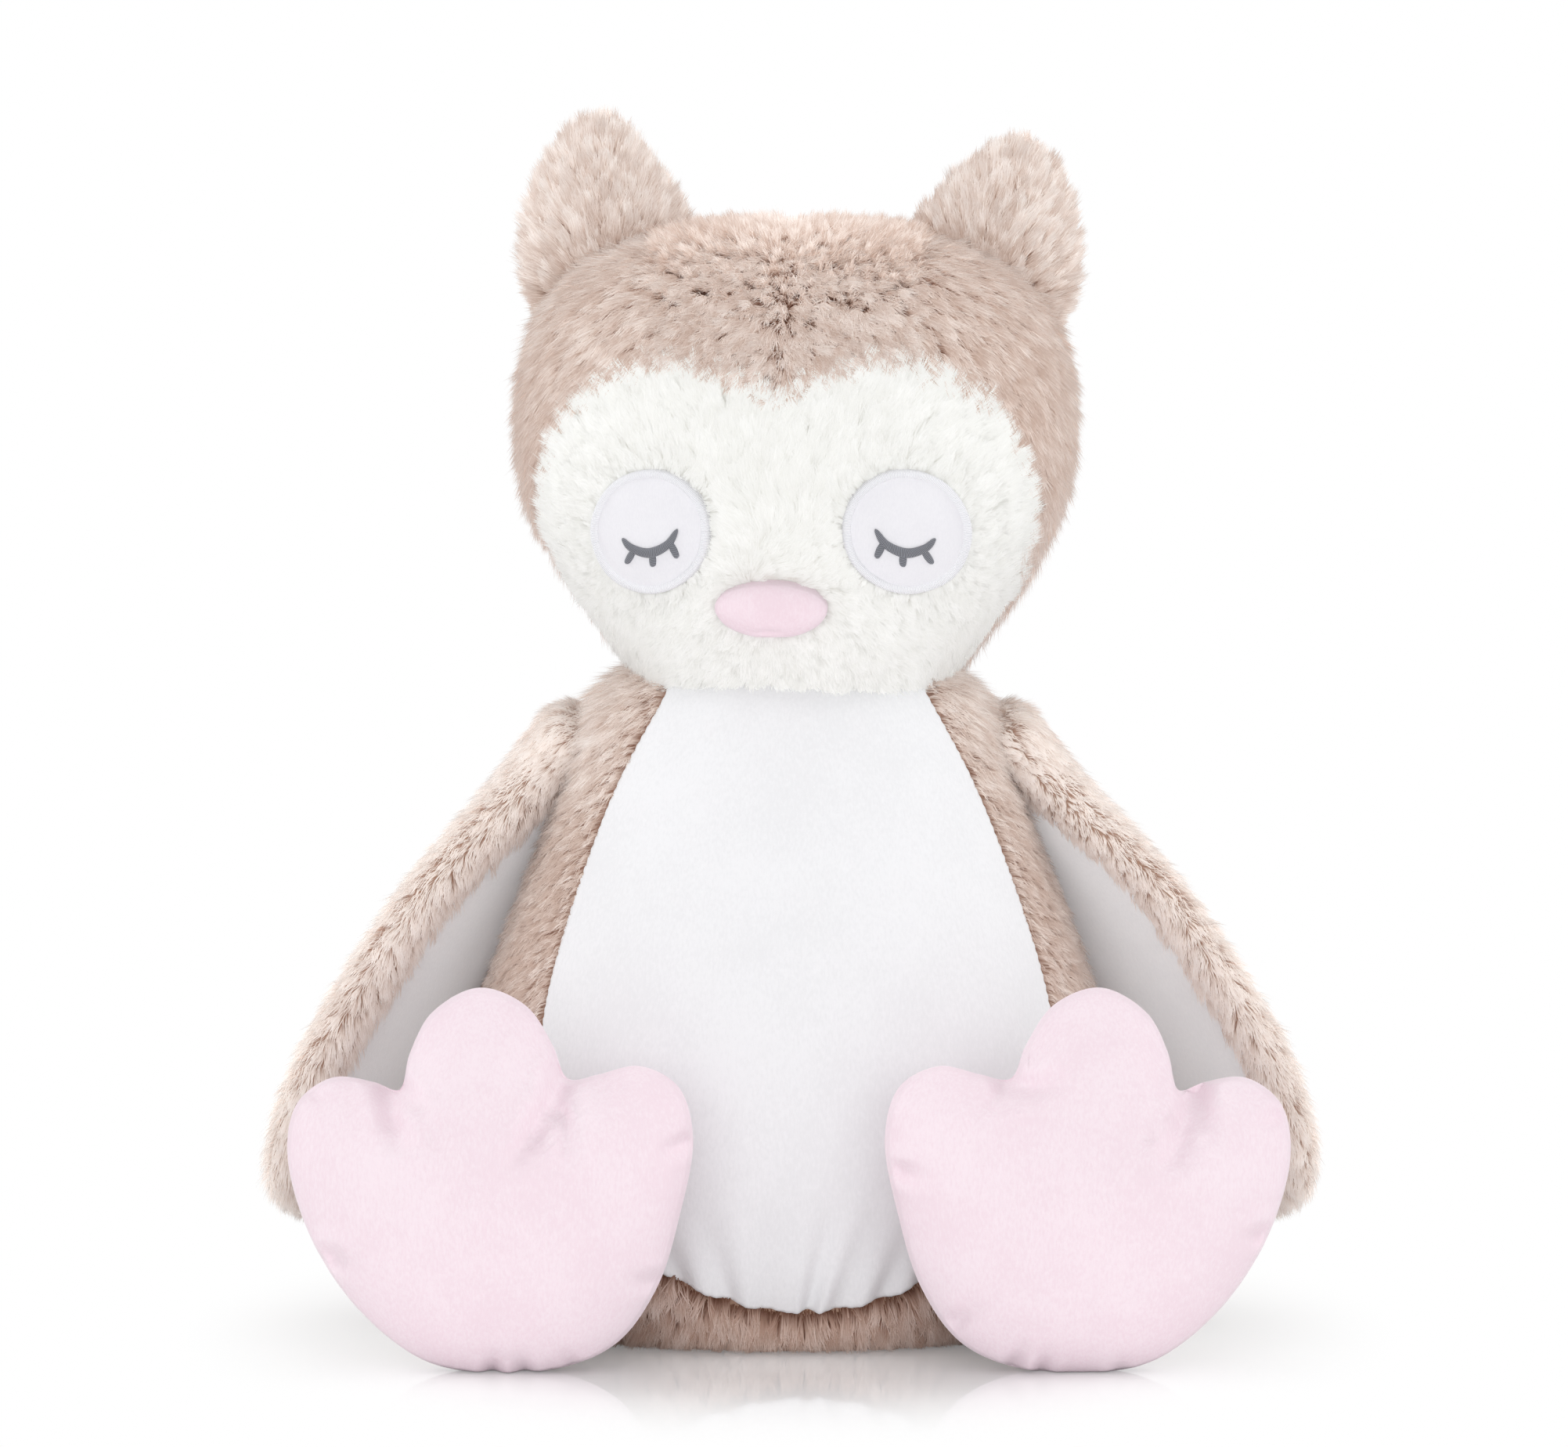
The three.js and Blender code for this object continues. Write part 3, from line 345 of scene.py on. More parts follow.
def thread_finish(name, color, darker, roughness):
    """Satin stitch: up its map, each whole number is one strand of thread, with painted highlight and shade.
    """
    material, add, link, cloth, _ = fabric(name, roughness=roughness, specular=0.5)
    values = {"Color": shade(*color), "Shade": shade(*darker), "Strand": drawn_on(add, STRAND_MAP)["Y"]}
    pattern = add("Group", values, node_tree=thread_effect)
    cover(add, link, cloth, pattern, 0.5, 0.0001)
    return material


print("light through pile:", LIGHT_THROUGH)

# %% Finishes
BROWN_TINTS = (0.74, 0.63, 0.575), (1.25, 1.31, 1.35)
# Each pile's first colour is its foot, darker partly as painted shade deep in the pile.
brown_pile = pile_finish("brown pile", "brown_pile", (150, 106, 84), (221, 202, 190), (239, 228, 221),
                         *BROWN_TINTS)
white_pile = pile_finish("white pile", "white_pile", (242, 241, 237), (246, 246, 243), (252, 252, 251),
                         (0.95, 0.95, 0.935), (1.05, 1.05, 1.05))
# Painted shade: a darker copy of the brown pile, for the shade under the belly and the legs.
seat_pile_painted_shade = pile_finish("brown pile of the seat", "brown_pile", (118, 80, 61), (203, 175, 160),
                          (231, 214, 204), *BROWN_TINTS)
# Painted shade: the backings are darker than their pile, for the shade deep under it.
brown_backing = velour_finish("brown pile backing", (176, 146, 128), (150, 118, 100),
                              patch=120.0, bump=0.6)
white_backing = velour_finish("white pile backing", (238, 237, 232), (226, 224, 218),
                              patch=120.0, bump=0.6)
belly_velour = velour_finish("white velour", (243, 243, 245), (228, 228, 230), patch=30.0,
                             amount=0.35)
# Painted light: the lining is the belly's white velour, made paler to lift the shade under the wings.
lining_velour = velour_finish("white velour lining", (251, 251, 252), (242, 242, 244),
                              patch=45.0, sheen=1.0)
foot_velour = velour_finish("pink velour", (245, 230, 237), (237, 214, 224), patch=45.0)
beak_velour = velour_finish("pink velour beak", (244, 226, 234), (237, 212, 222), patch=90.0)
eye_velour = velour_finish("eye velour", (238, 237, 241), (230, 229, 234), patch=60.0,
                           grain=2500.0, bump=0.12)
# Painted highlight and shade: each thread's second colour lies between its strands, the first on crowns.
white_thread = thread_finish("white satin thread", (250, 250, 252), (226, 226, 232), 0.35)
grey_thread = thread_finish("grey satin thread", (150, 152, 159), (78, 80, 87), 0.3)

# %% [markdown]
# ## Smooth forms
# A stuffed body is a stack of ovals that follow a smooth profile. The same profiles shape the CAD solids,
# so the fabric built here lies on them. Everything is measured in millimetres in the toy's own frame and
# turned into metres when a mesh is made. A form could be sculpted by hand instead. One made from a profile
# can be asked where its front lies at any place, and that is how the panels, the eyes and the beak find
# their own places.


# %% Rows and ways
def columns(*parts):
    """Numbers and arrays side by side, as the columns of one array."""
    return np.stack([part.ravel() for part in np.broadcast_arrays(*parts)], axis=1)


def held(value):
    return np.clip(value, 0, 1)


def unit(ways):
    return ways / np.maximum(np.linalg.norm(ways, axis=-1, keepdims=True), 1e-12)


def mirrored(points, sign):
    return points * [sign, 1, 1]


def full_turn(count):
    return 2 * np.pi * np.arange(count) / count


print("a quarter of a turn:", full_turn(4)[1].round(3))


# %% Curves
def smooth(keys, places, closed=False):
    """A centripetal Catmull-Rom line through the keys, read at places from 0 to 1."""
    keys = np.asarray(keys, float)
    count = len(keys) if closed else len(keys) - 1
    at = np.clip(np.asarray(places, float), 0, 1) * count
    i = np.minimum(at.astype(int), count - 1)
    w = (at - i)[:, None]
    if closed:
        p0, p1, p2, p3 = (keys[(i + k) % len(keys)] for k in (-1, 0, 1, 2))
    else:
        wide = np.vstack([2 * keys[0] - keys[1], keys, 2 * keys[-1] - keys[-2]])
        p0, p1, p2, p3 = (wide[i + k] for k in (0, 1, 2, 3))
    steps = [np.sqrt(np.linalg.norm(b - a, axis=1, keepdims=True)) for a, b in ((p0, p1), (p1, p2), (p2, p3))]
    d1 = np.where(steps[1] < 1e-4, 1, steps[1])
    d0, d2 = (np.where(d < 1e-4, d1, d) for d in (steps[0], steps[2]))
    t1 = ((p1 - p0) / d0 - (p2 - p0) / (d0 + d1) + (p2 - p1) / d1) * d1
    t2 = ((p2 - p1) / d1 - (p3 - p1) / (d1 + d2) + (p3 - p2) / d2) * d1
    return p1 + t1 * w + (3 * (p2 - p1) - 2 * t1 - t2) * w**2 + (2 * (p1 - p2) + t1 + t2) * w**3


def run_along(line):
    """How far along a line each of its points is."""
    return np.concatenate([[0], np.cumsum(np.linalg.norm(np.diff(line, axis=0), axis=1))])


def read_along(line, at):
    """The points of a line at given distances along it."""
    run = run_along(line)
    return np.column_stack([np.interp(at, run, line[:, k]) for k in range(line.shape[1])])


def even_outline(keys, count):
    """A closed smooth outline through the keys, as points at equal distances."""
    fine = smooth(keys, np.linspace(0, 1, 4001), closed=True)
    return read_along(fine, np.arange(count) / count * run_along(fine)[-1])


def sized(shares, half_width, low, high):
    """The keys of an outline, in millimetres, from shares of its half width and height."""
    return np.array(shares) * [half_width, high - low] + [0, low]


def both_sides(side):
    return np.vstack([side, side[-2:0:-1] * [-1, 1]])


def fanned(outline, hub, spread):
    """Rings of points from a hub out to an outline."""
    return hub + spread[:, None, None] * (outline - hub)


four_keys = [(1, 0), (0, 1), (-1, 0), (0, -1)]
print("round a smooth ring through four keys, mm:", run_along(even_outline(four_keys, 90))[-1].round(2))


# %% Outlines in front view
def inside(outline, x, z):
    """True where (x, z) lies inside a closed outline."""
    hit = np.zeros(x.shape, bool)
    for (x0, z0), (x1, z1) in zip(outline, np.roll(outline, -1, axis=0)):
        crosses = (z0 > z) != (z1 > z)
        if abs(z1 - z0) > 1e-12:
            hit ^= crosses & (x < (x1 - x0) * (z - z0) / (z1 - z0) + x0)
    return hit


def nearest_on(outline, x, z, closed=True):
    """How far (x, z) lies from an outline, and how far along it the nearest place is."""
    ends = np.roll(outline, -1, axis=0) if closed else outline[1:]
    best, run, where = np.full(x.shape, 1e9), 0.0, np.zeros(x.shape)
    for (x0, z0), (x1, z1) in zip(outline, ends):
        dx, dz = x1 - x0, z1 - z0
        size = math.hypot(dx, dz)
        t = np.clip(((x - x0) * dx + (z - z0) * dz) / max(size * size, 1e-12), 0, 1)
        away = np.hypot(x - x0 - t * dx, z - z0 - t * dz)
        closer = away < best
        best = np.where(closer, away, best)
        where = np.where(closer, run + t * size, where)
        run += size
    return best, where


def distance_to(outline, x, z):
    return nearest_on(outline, x, z)[0]


square = np.array([(-1.0, -1), (1, -1), (1, 1), (-1, 1)])
print("from the middle of a square of 2 mm to its edge:", distance_to(square, np.zeros(1), np.zeros(1))[0])


# %% Forms
def bend(value, roundness):
    return np.sign(value) * np.abs(value) ** (2 / roundness)


class Form:
    """An upright stuffed form: a profile of ovals, with its own turn and place."""

    def __init__(self, height, half_width, half_depth, shares, forward, roundness, turn, place):
        self.keys = np.asarray(shares) * [height, half_width, half_depth]
        self.height, self.roundness, self.forward = height, roundness, forward
        profile = smooth(self.keys, np.linspace(0, 1, 600))
        self.profile = profile[np.argsort(profile[:, 0], kind="stable")]
        c, s = math.cos(math.radians(turn)), math.sin(math.radians(turn))
        self.turn = np.array([[c, -s, 0], [s, c, 0], [0, 0, 1]])
        self.place = np.array(place, float)

    def grid(self, levels, around):
        """Rings of points in the form's own frame, from the bottom to the top."""
        rows = smooth(self.keys, np.linspace(0, 1, levels + 1))
        angle = full_turn(around)
        x = rows[:, 1:2] * bend(np.cos(angle), self.roundness)
        y = rows[:, 2:3] * bend(np.sin(angle), self.roundness)
        share = rows[:, 0:1] / self.height
        return np.stack([x, y - self.forward(share), np.broadcast_to(rows[:, 0:1], x.shape)], axis=2)

    def half_width(self, z):
        return np.interp(z, self.profile[:, 0], self.profile[:, 1])

    def front(self, x, z):
        """The point of the front at (x, z), in the form's own frame."""
        half_depth = np.interp(z, self.profile[:, 0], self.profile[:, 2])
        side = np.clip(np.abs(x) / np.maximum(self.half_width(z), 1e-6), 0, 1)
        depth = half_depth * (1 - side**self.roundness) ** (1 / self.roundness)
        return np.stack([x, -self.forward(z / self.height) - depth, z], axis=-1)

    def off_front(self, x, z, out):
        """A point at a distance off the front at (x, z), in the toy's frame."""
        points = self.front(x, z)
        around = self.front(x + 0.5, z) - self.front(x - 0.5, z)
        along = self.front(x, z + 0.5) - self.front(x, z - 0.5)
        return self.world(points + unit(np.cross(around, along)) * np.asarray(out)[..., None])

    def world(self, points):
        return points @ self.turn.T + self.place

    def turned(self, ways):
        return ways @ self.turn.T


def normals_of(grid, wrap=True):
    """Outward normals of a grid of points whose rows go up and whose columns go counter-clockwise."""
    if wrap:
        around = np.roll(grid, -1, axis=1) - np.roll(grid, 1, axis=1)
    else:
        around = np.gradient(grid, axis=1)
    return unit(np.cross(around, np.gradient(grid, axis=0)))


# %% Body and head forms
BODY_SHARES = [
    (0, 0.58, 0.69), (0.012, 0.71, 0.8), (0.04, 0.82, 0.875), (0.1, 0.92, 0.945), (0.19, 0.985, 0.985),
    (0.29, 1, 1), (0.4, 0.975, 0.985), (0.52, 0.905, 0.94), (0.65, 0.805, 0.86), (0.77, 0.7, 0.77),
    (0.87, 0.605, 0.69), (0.94, 0.525, 0.62), (0.985, 0.4, 0.48), (1, 0, 0)]
HEAD_SHARES = [
    (0, 0, 0), (0.025, 0.32, 0.37), (0.09, 0.52, 0.6), (0.17, 0.635, 0.765), (0.27, 0.77, 0.885),
    (0.38, 0.89, 0.955), (0.5, 0.975, 0.99), (0.62, 1, 1), (0.73, 0.985, 0.98), (0.83, 0.925, 0.905),
    (0.91, 0.815, 0.78), (0.965, 0.62, 0.59), (0.993, 0.33, 0.32), (1, 0, 0)]
BODY_HEIGHT, NECK_SINK = 181, 21
body_form = Form(BODY_HEIGHT, 86.5, 70, BODY_SHARES, lambda share: 3.5 + 0 * share, 2.15, 3, (0, 0, 0))
head_place = (2, 0, BODY_HEIGHT - NECK_SINK)
head_form = Form(133, 71, 61, HEAD_SHARES, lambda share: 5.5 - 7.5 * share, 2.35, -5, head_place)
print("body and head, mm:", body_form.keys.max(axis=0), head_form.keys.max(axis=0))

# %% [markdown]
# ## Meshes from numbers
# A mesh with hundreds of thousands of faces is filled straight from number arrays, which takes a fraction
# of a second, where adding its faces one by one would take minutes. Every piece is named, rides on its body,
# stands for its CAD nodes and is given its finish.


# %% Mesh helpers
def floats(values):
    return np.ascontiguousarray(values, np.float32).ravel()


def new_piece(name, points, faces, finish, body="owl", stands_for=(), maps=None, shading=None):
    """A mesh piece from points in millimetres and triangles or quads."""
    faces = np.asarray(faces, np.int32)
    mesh = bpy.data.meshes.new(name)
    mesh.vertices.add(len(points))
    mesh.vertices.foreach_set("co", floats(points * MM))
    mesh.loops.add(faces.size)
    mesh.loops.foreach_set("vertex_index", faces.ravel())
    mesh.polygons.add(len(faces))
    mesh.polygons.foreach_set("loop_start", np.arange(len(faces), dtype=np.int32) * faces.shape[1])
    mesh.polygons.foreach_set("use_smooth", np.ones(len(faces), bool))
    for label, drawn in (maps or {}).items():
        mesh.uv_layers.new(name=label).uv.foreach_set("vector", floats(drawn[faces.ravel()]))
    mesh.update(calc_edges=True)
    if shading is not None:
        mesh.normals_split_custom_set_from_vertices(shading.astype(np.float32))
    mesh.materials.append(finish)
    piece = bpy.data.objects.new(name, mesh)
    bpy.context.scene.collection.objects.link(piece)
    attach(piece, body)
    if stands_for:
        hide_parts(*stands_for)
    return piece


def quads(rings, around, wrap=True):
    """Faces of a grid of points, its rings going up and each ring counter-clockwise seen from outside."""
    k, j = np.meshgrid(np.arange(rings - 1), np.arange(around if wrap else around - 1), indexing="ij")
    k, j = k.ravel() * around, j.ravel()
    n = (j + 1) % around
    return np.column_stack([k + j, k + n, k + around + n, k + around + j])


def part_of(points, faces, wanted):
    """The wanted faces with only the points that they use."""
    faces = faces[wanted]
    used, renumbered = np.unique(faces.ravel(), return_inverse=True)
    return points[used], renumbered.reshape(faces.shape)


def middles(points, faces):
    return points[faces].mean(axis=1)


def facing(points, faces, way=(0, -1, 0)):
    """The faces turned so that on the whole they look along a way."""
    looks = np.cross(points[faces[:, 1]] - points[faces[:, 0]], points[faces[:, -1]] - points[faces[:, 0]])
    return faces if np.sum(looks * way) > 0 else faces[:, ::-1]


print("the first quad of a grid of 3 by 4:", quads(3, 4)[0])

# %% [markdown]
# ## Growing pile
# Blades start at random places on a surface. Each one stands out of the cloth, leans the way the pile is
# combed, and is drawn towards the middle of its tuft. Tufts come from a jittered lattice in space: every
# blade joins the nearest of its lattice points. Blender's own hair would look alike, but it isn't a mesh
# and wouldn't stay with the model. So a blade is a strip that narrows to a point, three triangles in all,
# and its shading follows the surface more than its own flat side, as light does that scatters through real
# pile.


# %% Tufts
def box_corners(values):
    return np.array([(a, b, c) for a in values for b in values for c in values])


def hashed(cells, salt):
    """Even random numbers from 0 to 1 for whole-number cells."""
    a = cells.astype(np.int64)
    salted = salt * 2654435761 & 0x7FFFFFFF
    mixed = a[..., 0] * 73856093 ^ a[..., 1] * 19349663 ^ a[..., 2] * 83492791 ^ salted
    mixed = (mixed ^ (mixed >> 13)) * 1274126177 & 0x7FFFFFFF
    mixed = (mixed ^ (mixed >> 16)) * 668265263 & 0x7FFFFFFF
    return (mixed & 0xFFFFFF) / 0xFFFFFF


def tufts(points, size, salt):
    """For each point, the nearest tuft's middle and four random numbers of that tuft."""
    cell = np.floor(points / size)
    best = np.full(len(points), 1e9)
    middle, chosen = np.zeros_like(points), np.zeros_like(points)
    for step in box_corners((-1, 0, 1)):
        near = cell + step
        jitter = np.stack([hashed(near, salt + k) for k in range(3)], axis=1)
        spot = (near + jitter) * size
        away = np.linalg.norm(spot - points, axis=1)
        closer = away < best
        best = np.where(closer, away, best)
        middle = np.where(closer[:, None], spot, middle)
        chosen = np.where(closer[:, None], near, chosen)
    return middle, np.stack([hashed(chosen, salt + 10 + k) for k in range(4)], axis=1)


def soft_noise(points, size, salt):
    """Smooth noise from 0 to 1 in space."""
    at = points / size
    low = np.floor(at)
    w = at - low
    w = w * w * (3 - 2 * w)
    total = np.zeros(len(points))
    for corner in box_corners((0, 1)):
        share = np.prod(np.where(corner == 1, w, 1 - w), axis=1)
        total += share * hashed(low + corner, salt)
    return total


def drift(points, size, salt):
    """Smooth noise to both sides of 0, half a unit each way."""
    return soft_noise(points, size, salt) - 0.5


print("noise at one place:", soft_noise(np.ones((1, 3)), 5, 1).round(3))


# %% Roots
def scatter(grid, weight, count):
    """Random points on a grid of points in proportion to area times weight, with their normals."""
    faces = quads(*grid.shape[:2])
    flat, normal = grid.reshape(-1, 3), normals_of(grid).reshape(-1, 3)
    corners = flat[faces]
    area = np.linalg.norm(np.cross(corners[:, 2] - corners[:, 0], corners[:, 3] - corners[:, 1]), axis=1) / 2
    odds = np.cumsum(area * weight)
    chosen = np.searchsorted(odds, rng.random(count) * odds[-1])
    s, t = rng.random((2, count, 1))
    shares = np.stack([(1 - s) * (1 - t), s * (1 - t), s * t, (1 - s) * t])
    points, ways = (sum(shares[k] * values[faces[chosen, k]] for k in range(4)) for values in (flat, normal))
    return points, unit(ways)


# %% Blades
KNEE_AT, KNEE_TILT, KNEE_PULL, KNEE_WIDTH = 0.55, 0.72, 0.35, 0.85  # shares of what the tip has
ROOT_DEPTH, OFF_FLOOR, SOFTNESS = 0.4, 0.25, 0.85
BLADE_FACES = np.array([[0, 1, 2], [0, 2, 3], [3, 2, 4]])
BLADE_ALONG = np.array([0, 0, KNEE_AT, KNEE_AT, 1])
BLADE_ACROSS = np.array([-1, 1, 1, -1, 0]) * 0.006


def in_surface(ways, normals):
    return ways - normals * np.sum(ways * normals, axis=1, keepdims=True)


def grow_pile(name, points, normals, comb, length, finish, lean, salt, body="owl", tuft=2.4, gather=0.4,
              width=0.32, tint=0.5, wild=9.0, sway=16.0):
    """Blades from roots, normals and combing directions in the toy's frame, all in millimetres."""
    count = len(points)
    middle, luck = tufts(points, tuft, salt)
    comb = unit(in_surface(comb, normals))
    turn = np.radians(sway * (2 * luck[:, 0] - 1 + rng.normal(0, 0.4, count)))[:, None]
    way = comb * np.cos(turn) + np.cross(normals, comb) * np.sin(turn)
    tilt = np.radians(np.clip(lean + (luck[:, 1] - 0.5) * 2 * wild + rng.normal(0, 6, count), 4, 86))[:, None]
    long = (length * (0.84 + 0.26 * luck[:, 2]) * rng.uniform(0.84, 1.06, count))[:, None]

    def reach(tilt):
        return long * (normals * np.cos(tilt) + way * np.sin(tilt))

    tip, pull = reach(tilt), in_surface(middle - points, normals)
    roots = points - normals * ROOT_DEPTH
    knees = points + reach(tilt * KNEE_TILT) * KNEE_AT + pull * gather * KNEE_PULL
    tips = points + tip + pull * gather
    flat = unit(np.cross(np.cross(tip, normals), tip))
    twist = rng.normal(0, 0.35, count)[:, None]
    across = unit(np.cross(tip, flat)) * np.cos(twist) + flat * np.sin(twist)
    across = across * (width * rng.uniform(0.8, 1.25, count)[:, None] / 2)
    narrow = across * KNEE_WIDTH
    corners = np.stack([roots - across, roots + across, knees + narrow, knees - narrow, tips], axis=1)
    corners[..., 2] = np.maximum(corners[..., 2], OFF_FLOOR)
    up = unit(normals * SOFTNESS + flat * (1 - SOFTNESS))
    shading = np.stack([normals, normals, up, up, unit(up + way * 0.25)], axis=1)
    looks = np.cross(corners[:, 1] - corners[:, 0], corners[:, 4] - corners[:, 0])
    turned = np.sum(looks * normals, axis=1) < 0
    corners[turned] = corners[turned][:, [1, 0, 3, 2, 4]]
    tints = np.clip(tint + (luck[:, 3] - 0.5) * 0.6 + rng.normal(0, 0.15, count), 0.02, 0.98)
    drawn = np.stack([tints[:, None] + BLADE_ACROSS, np.broadcast_to(BLADE_ALONG, (count, 5))], axis=2)
    faces = (np.arange(count)[:, None, None] * 5 + BLADE_FACES).reshape(-1, 3)
    new_piece(name, corners.reshape(-1, 3), faces, finish, body, maps={PILE_MAP: drawn.reshape(-1, 2)},
              shading=shading.reshape(-1, 3))
    print(name, count, "blades")


# %% [markdown]
# ## Body
# The body has a velour belly between two pile sides and a pile seat. The seams are drawn in front view, as
# on the toy. Near each seam the pile is shorter and combed away from it, which leaves the thin dark parting
# of a sewn edge. Under the pile lies its backing, set in a little, and it laps under the belly, so that no
# seam gapes. Each panel could be a sheet of its own. Here the whole skin is made once and each of its faces
# is given to a panel, so neighbours always meet.

# %% Body seams
BELLY_HALF_WIDTH, BELLY_BOTTOM, BELLY_TOP = 67, 6, 178
BELLY_SHARES = [(0, 1), (0.44, 1), (0.515, 0.948), (0.7, 0.812), (0.895, 0.604), (0.985, 0.461), (1, 0.346),
                (0.945, 0.22), (0.8, 0.12), (0.6, 0.058), (0.33, 0.015), (0, 0)]
belly_keys = both_sides(sized(BELLY_SHARES, BELLY_HALF_WIDTH, BELLY_BOTTOM, BELLY_TOP))
belly_outline = even_outline(belly_keys, 360)
SEAT_FRONT, SEAT_SIDE, SEAT_RUN = 12, 33, 52


def seat_level(x):
    """How high the seam of the seat runs. It climbs from the front to the sides."""
    return SEAT_FRONT + (SEAT_SIDE - SEAT_FRONT) * np.minimum(1, np.abs(x) / SEAT_RUN) ** 2


print("belly seam, mm:", belly_outline.min(axis=0).round(1), belly_outline.max(axis=0).round(1))

# %% Skins
CLOTH_INSET, SEAM_LAP = 0.5, 3.2


class Skin:
    """The skin of a form as points and faces, and as cloth a little further in, under the pile."""

    def __init__(self, form, levels, around):
        self.form, self.grid, self.faces = form, form.grid(levels, around), quads(levels + 1, around)
        self.points = self.grid.reshape(-1, 3)
        self.cloth = (self.grid - normals_of(self.grid) * CLOTH_INSET).reshape(-1, 3)
        self.middles = middles(self.points, self.faces)


def form_cloth(name, skin, wanted, finish, *stands_for):
    points, faces = part_of(skin.cloth, skin.faces, wanted)
    new_piece(name, skin.form.world(points), faces, finish, stands_for=stands_for)


def told(value, points):
    return value(points) if callable(value) else value


def form_pile(name, skin, weight, count, finish, comb, length, lean, tint, **style):
    """Pile on part of a form. Combing and length are functions of its roots, and lean and tint may be."""
    points, normals = scatter(skin.grid, weight, count)
    world, turned = skin.form.world, skin.form.turned
    tint = told(tint, points) + 0.3 * drift(points, 22, 5)
    grow_pile(name, world(points), turned(normals), turned(comb(points)), length(points), finish,
              told(lean, points), tint=tint, **style)


body_skin = Skin(body_form, 84, 190)
bx, by, bz = body_skin.middles.T
in_front, on_seat = by < 0, bz < seat_level(bx)
on_belly = in_front & inside(belly_outline, bx, bz) & ~on_seat
lapped = on_belly & (distance_to(belly_outline[::3], bx, bz) < SEAM_LAP)
print("body faces:", len(bx), "of them on the belly:", on_belly.sum())

# %% Body sides
PILE_COUNT = 60000
SHOULDER_SEAM, SHOULDER_REACH = [54, 0, 167], [14, 28, 12]
NO_SEAM = 30


def shoulder_share(points):
    """1 at the seams where the wings are sewn on, fading to 0 a little away."""
    folded = np.column_stack([np.abs(points[:, 0]), points[:, 1:]])
    return held(1.5 - np.linalg.norm((folded - SHOULDER_SEAM) / SHOULDER_REACH, axis=1))


def covered(points):
    """1 on the body sides where a hanging wing covers them."""
    x, y, z = points.T
    side = held((np.abs(x) - 0.8 * body_form.half_width(z)) / 8)
    return side * held((150 - z) / 20) * held((z - 30) / 30) * (np.abs(y) < 45)


def side_comb(points):
    """Away from the belly seam and down, and outwards over the shoulder."""
    x, y, z = points.T
    near = np.exp(-distance_to(belly_outline[::4], x, z) / 16) * (y < 0)
    out = 0.25 + 0.5 * near - 0.15 * np.clip(y / 50, -1, 1) + 2.2 * shoulder_share(points)
    return columns(np.sign(x) * out, 0.25, -1.0)


def side_length(points):
    """Short at the seams and under the wing, long over the shoulder."""
    x, y, z = points.T
    gap = np.where(y < 0, distance_to(belly_outline[::4], x, z), NO_SEAM)
    gap = np.minimum(gap, np.where(y > 0, np.abs(x), NO_SEAM))
    gap = np.minimum(gap, np.abs(z - seat_level(x)))
    return (8.6 - 2.4 * covered(points)) * (0.62 + 0.38 * held(gap / 5)) + 5.5 * shoulder_share(points)


def side_painted_shade(points):
    """Painted shade: the pile that the hanging wing covers is darker, as in the wing's shadow."""
    return 0.38 - 0.34 * covered(points)


in_neck_of_body = (bz > 178) & (np.hypot(bx, by) < 25)
for name, sign in SIDES:
    half = (bx > 0) == (sign > 0)
    side = ~on_seat & ~on_belly & half
    form_cloth(f"body_side_{name}_cloth", body_skin, side | (lapped & half), brown_backing,
               f"body_side_{name}")
    thicker = 1 + 2.5 * shoulder_share(body_skin.middles)
    weight = side * np.where(in_front, 1.8, 0.7) * ~in_neck_of_body * thicker
    form_pile(f"body_side_{name}_pile", body_skin, weight, PILE_COUNT, brown_pile, side_comb, side_length,
              58.0, side_painted_shade, tuft=2.0, gather=0.55, wild=13.0, salt=3)


# %% Seat
def seat_comb(points):
    return columns(0.15 * np.sign(points[:, 0]), 0.0, -1.0)


def seat_length(points):
    return np.clip(4.5 + 0.55 * points[:, 2], 0, 9.3)


def seat_lean(points):
    """Near the floor the pile stands further out, so that its tips end a little above the floor."""
    return np.clip(28 + 2.2 * points[:, 2], 0, 56)


seat_lap = in_front & (bz < seat_level(bx) + SEAM_LAP)
form_cloth("seat_cloth", body_skin, on_seat | seat_lap, brown_backing, "seat_panel")
weight = on_seat * (bz > 1.5) * np.where(in_front, 1.6, 0.8)
form_pile("seat_pile", body_skin, weight, 48000, seat_pile_painted_shade, seat_comb, seat_length, seat_lean, 0.3,
          tuft=2.7, gather=1.0, wild=18.0, sway=28.0, salt=7)

# %% [markdown]
# ## Belly
# The belly is one smooth sheet of velour. Its edge rolls in to the seam, where each stitch pulls a small
# dent. At the bottom the cloth is gathered, so soft folds climb from the seam and fade, and a dart leans to
# the owl's left. A bump in the finish could draw these folds, but only folds in the mesh hold a shadow.

# %% Belly folds
STITCH, SEAM_OVERHANG, ROLL = 2.7, 1.0, 1.7
FOLD_SHARE = 0.9
FOLDS = [  # bottom (x, z), top (x, z), half width, depth
    ((-19, 14), (-27, 44), 3.2, 1.5), ((-9, 13), (-9, 42), 3.4, 0.9), ((1.5, 12), (9, 46), 2.2, 1.9),
    ((9, 12), (21, 46), 3.4, 1.0), ((20, 15), (30, 41), 3.0, 1.3), ((31, 19), (37, 36), 3.0, 1.2),
    ((-31, 19), (-39, 38), 3.0, 1.1), ((-42, 27), (-50, 47), 3.2, 1.0), ((43, 27), (50, 47), 3.2, 1.0)]


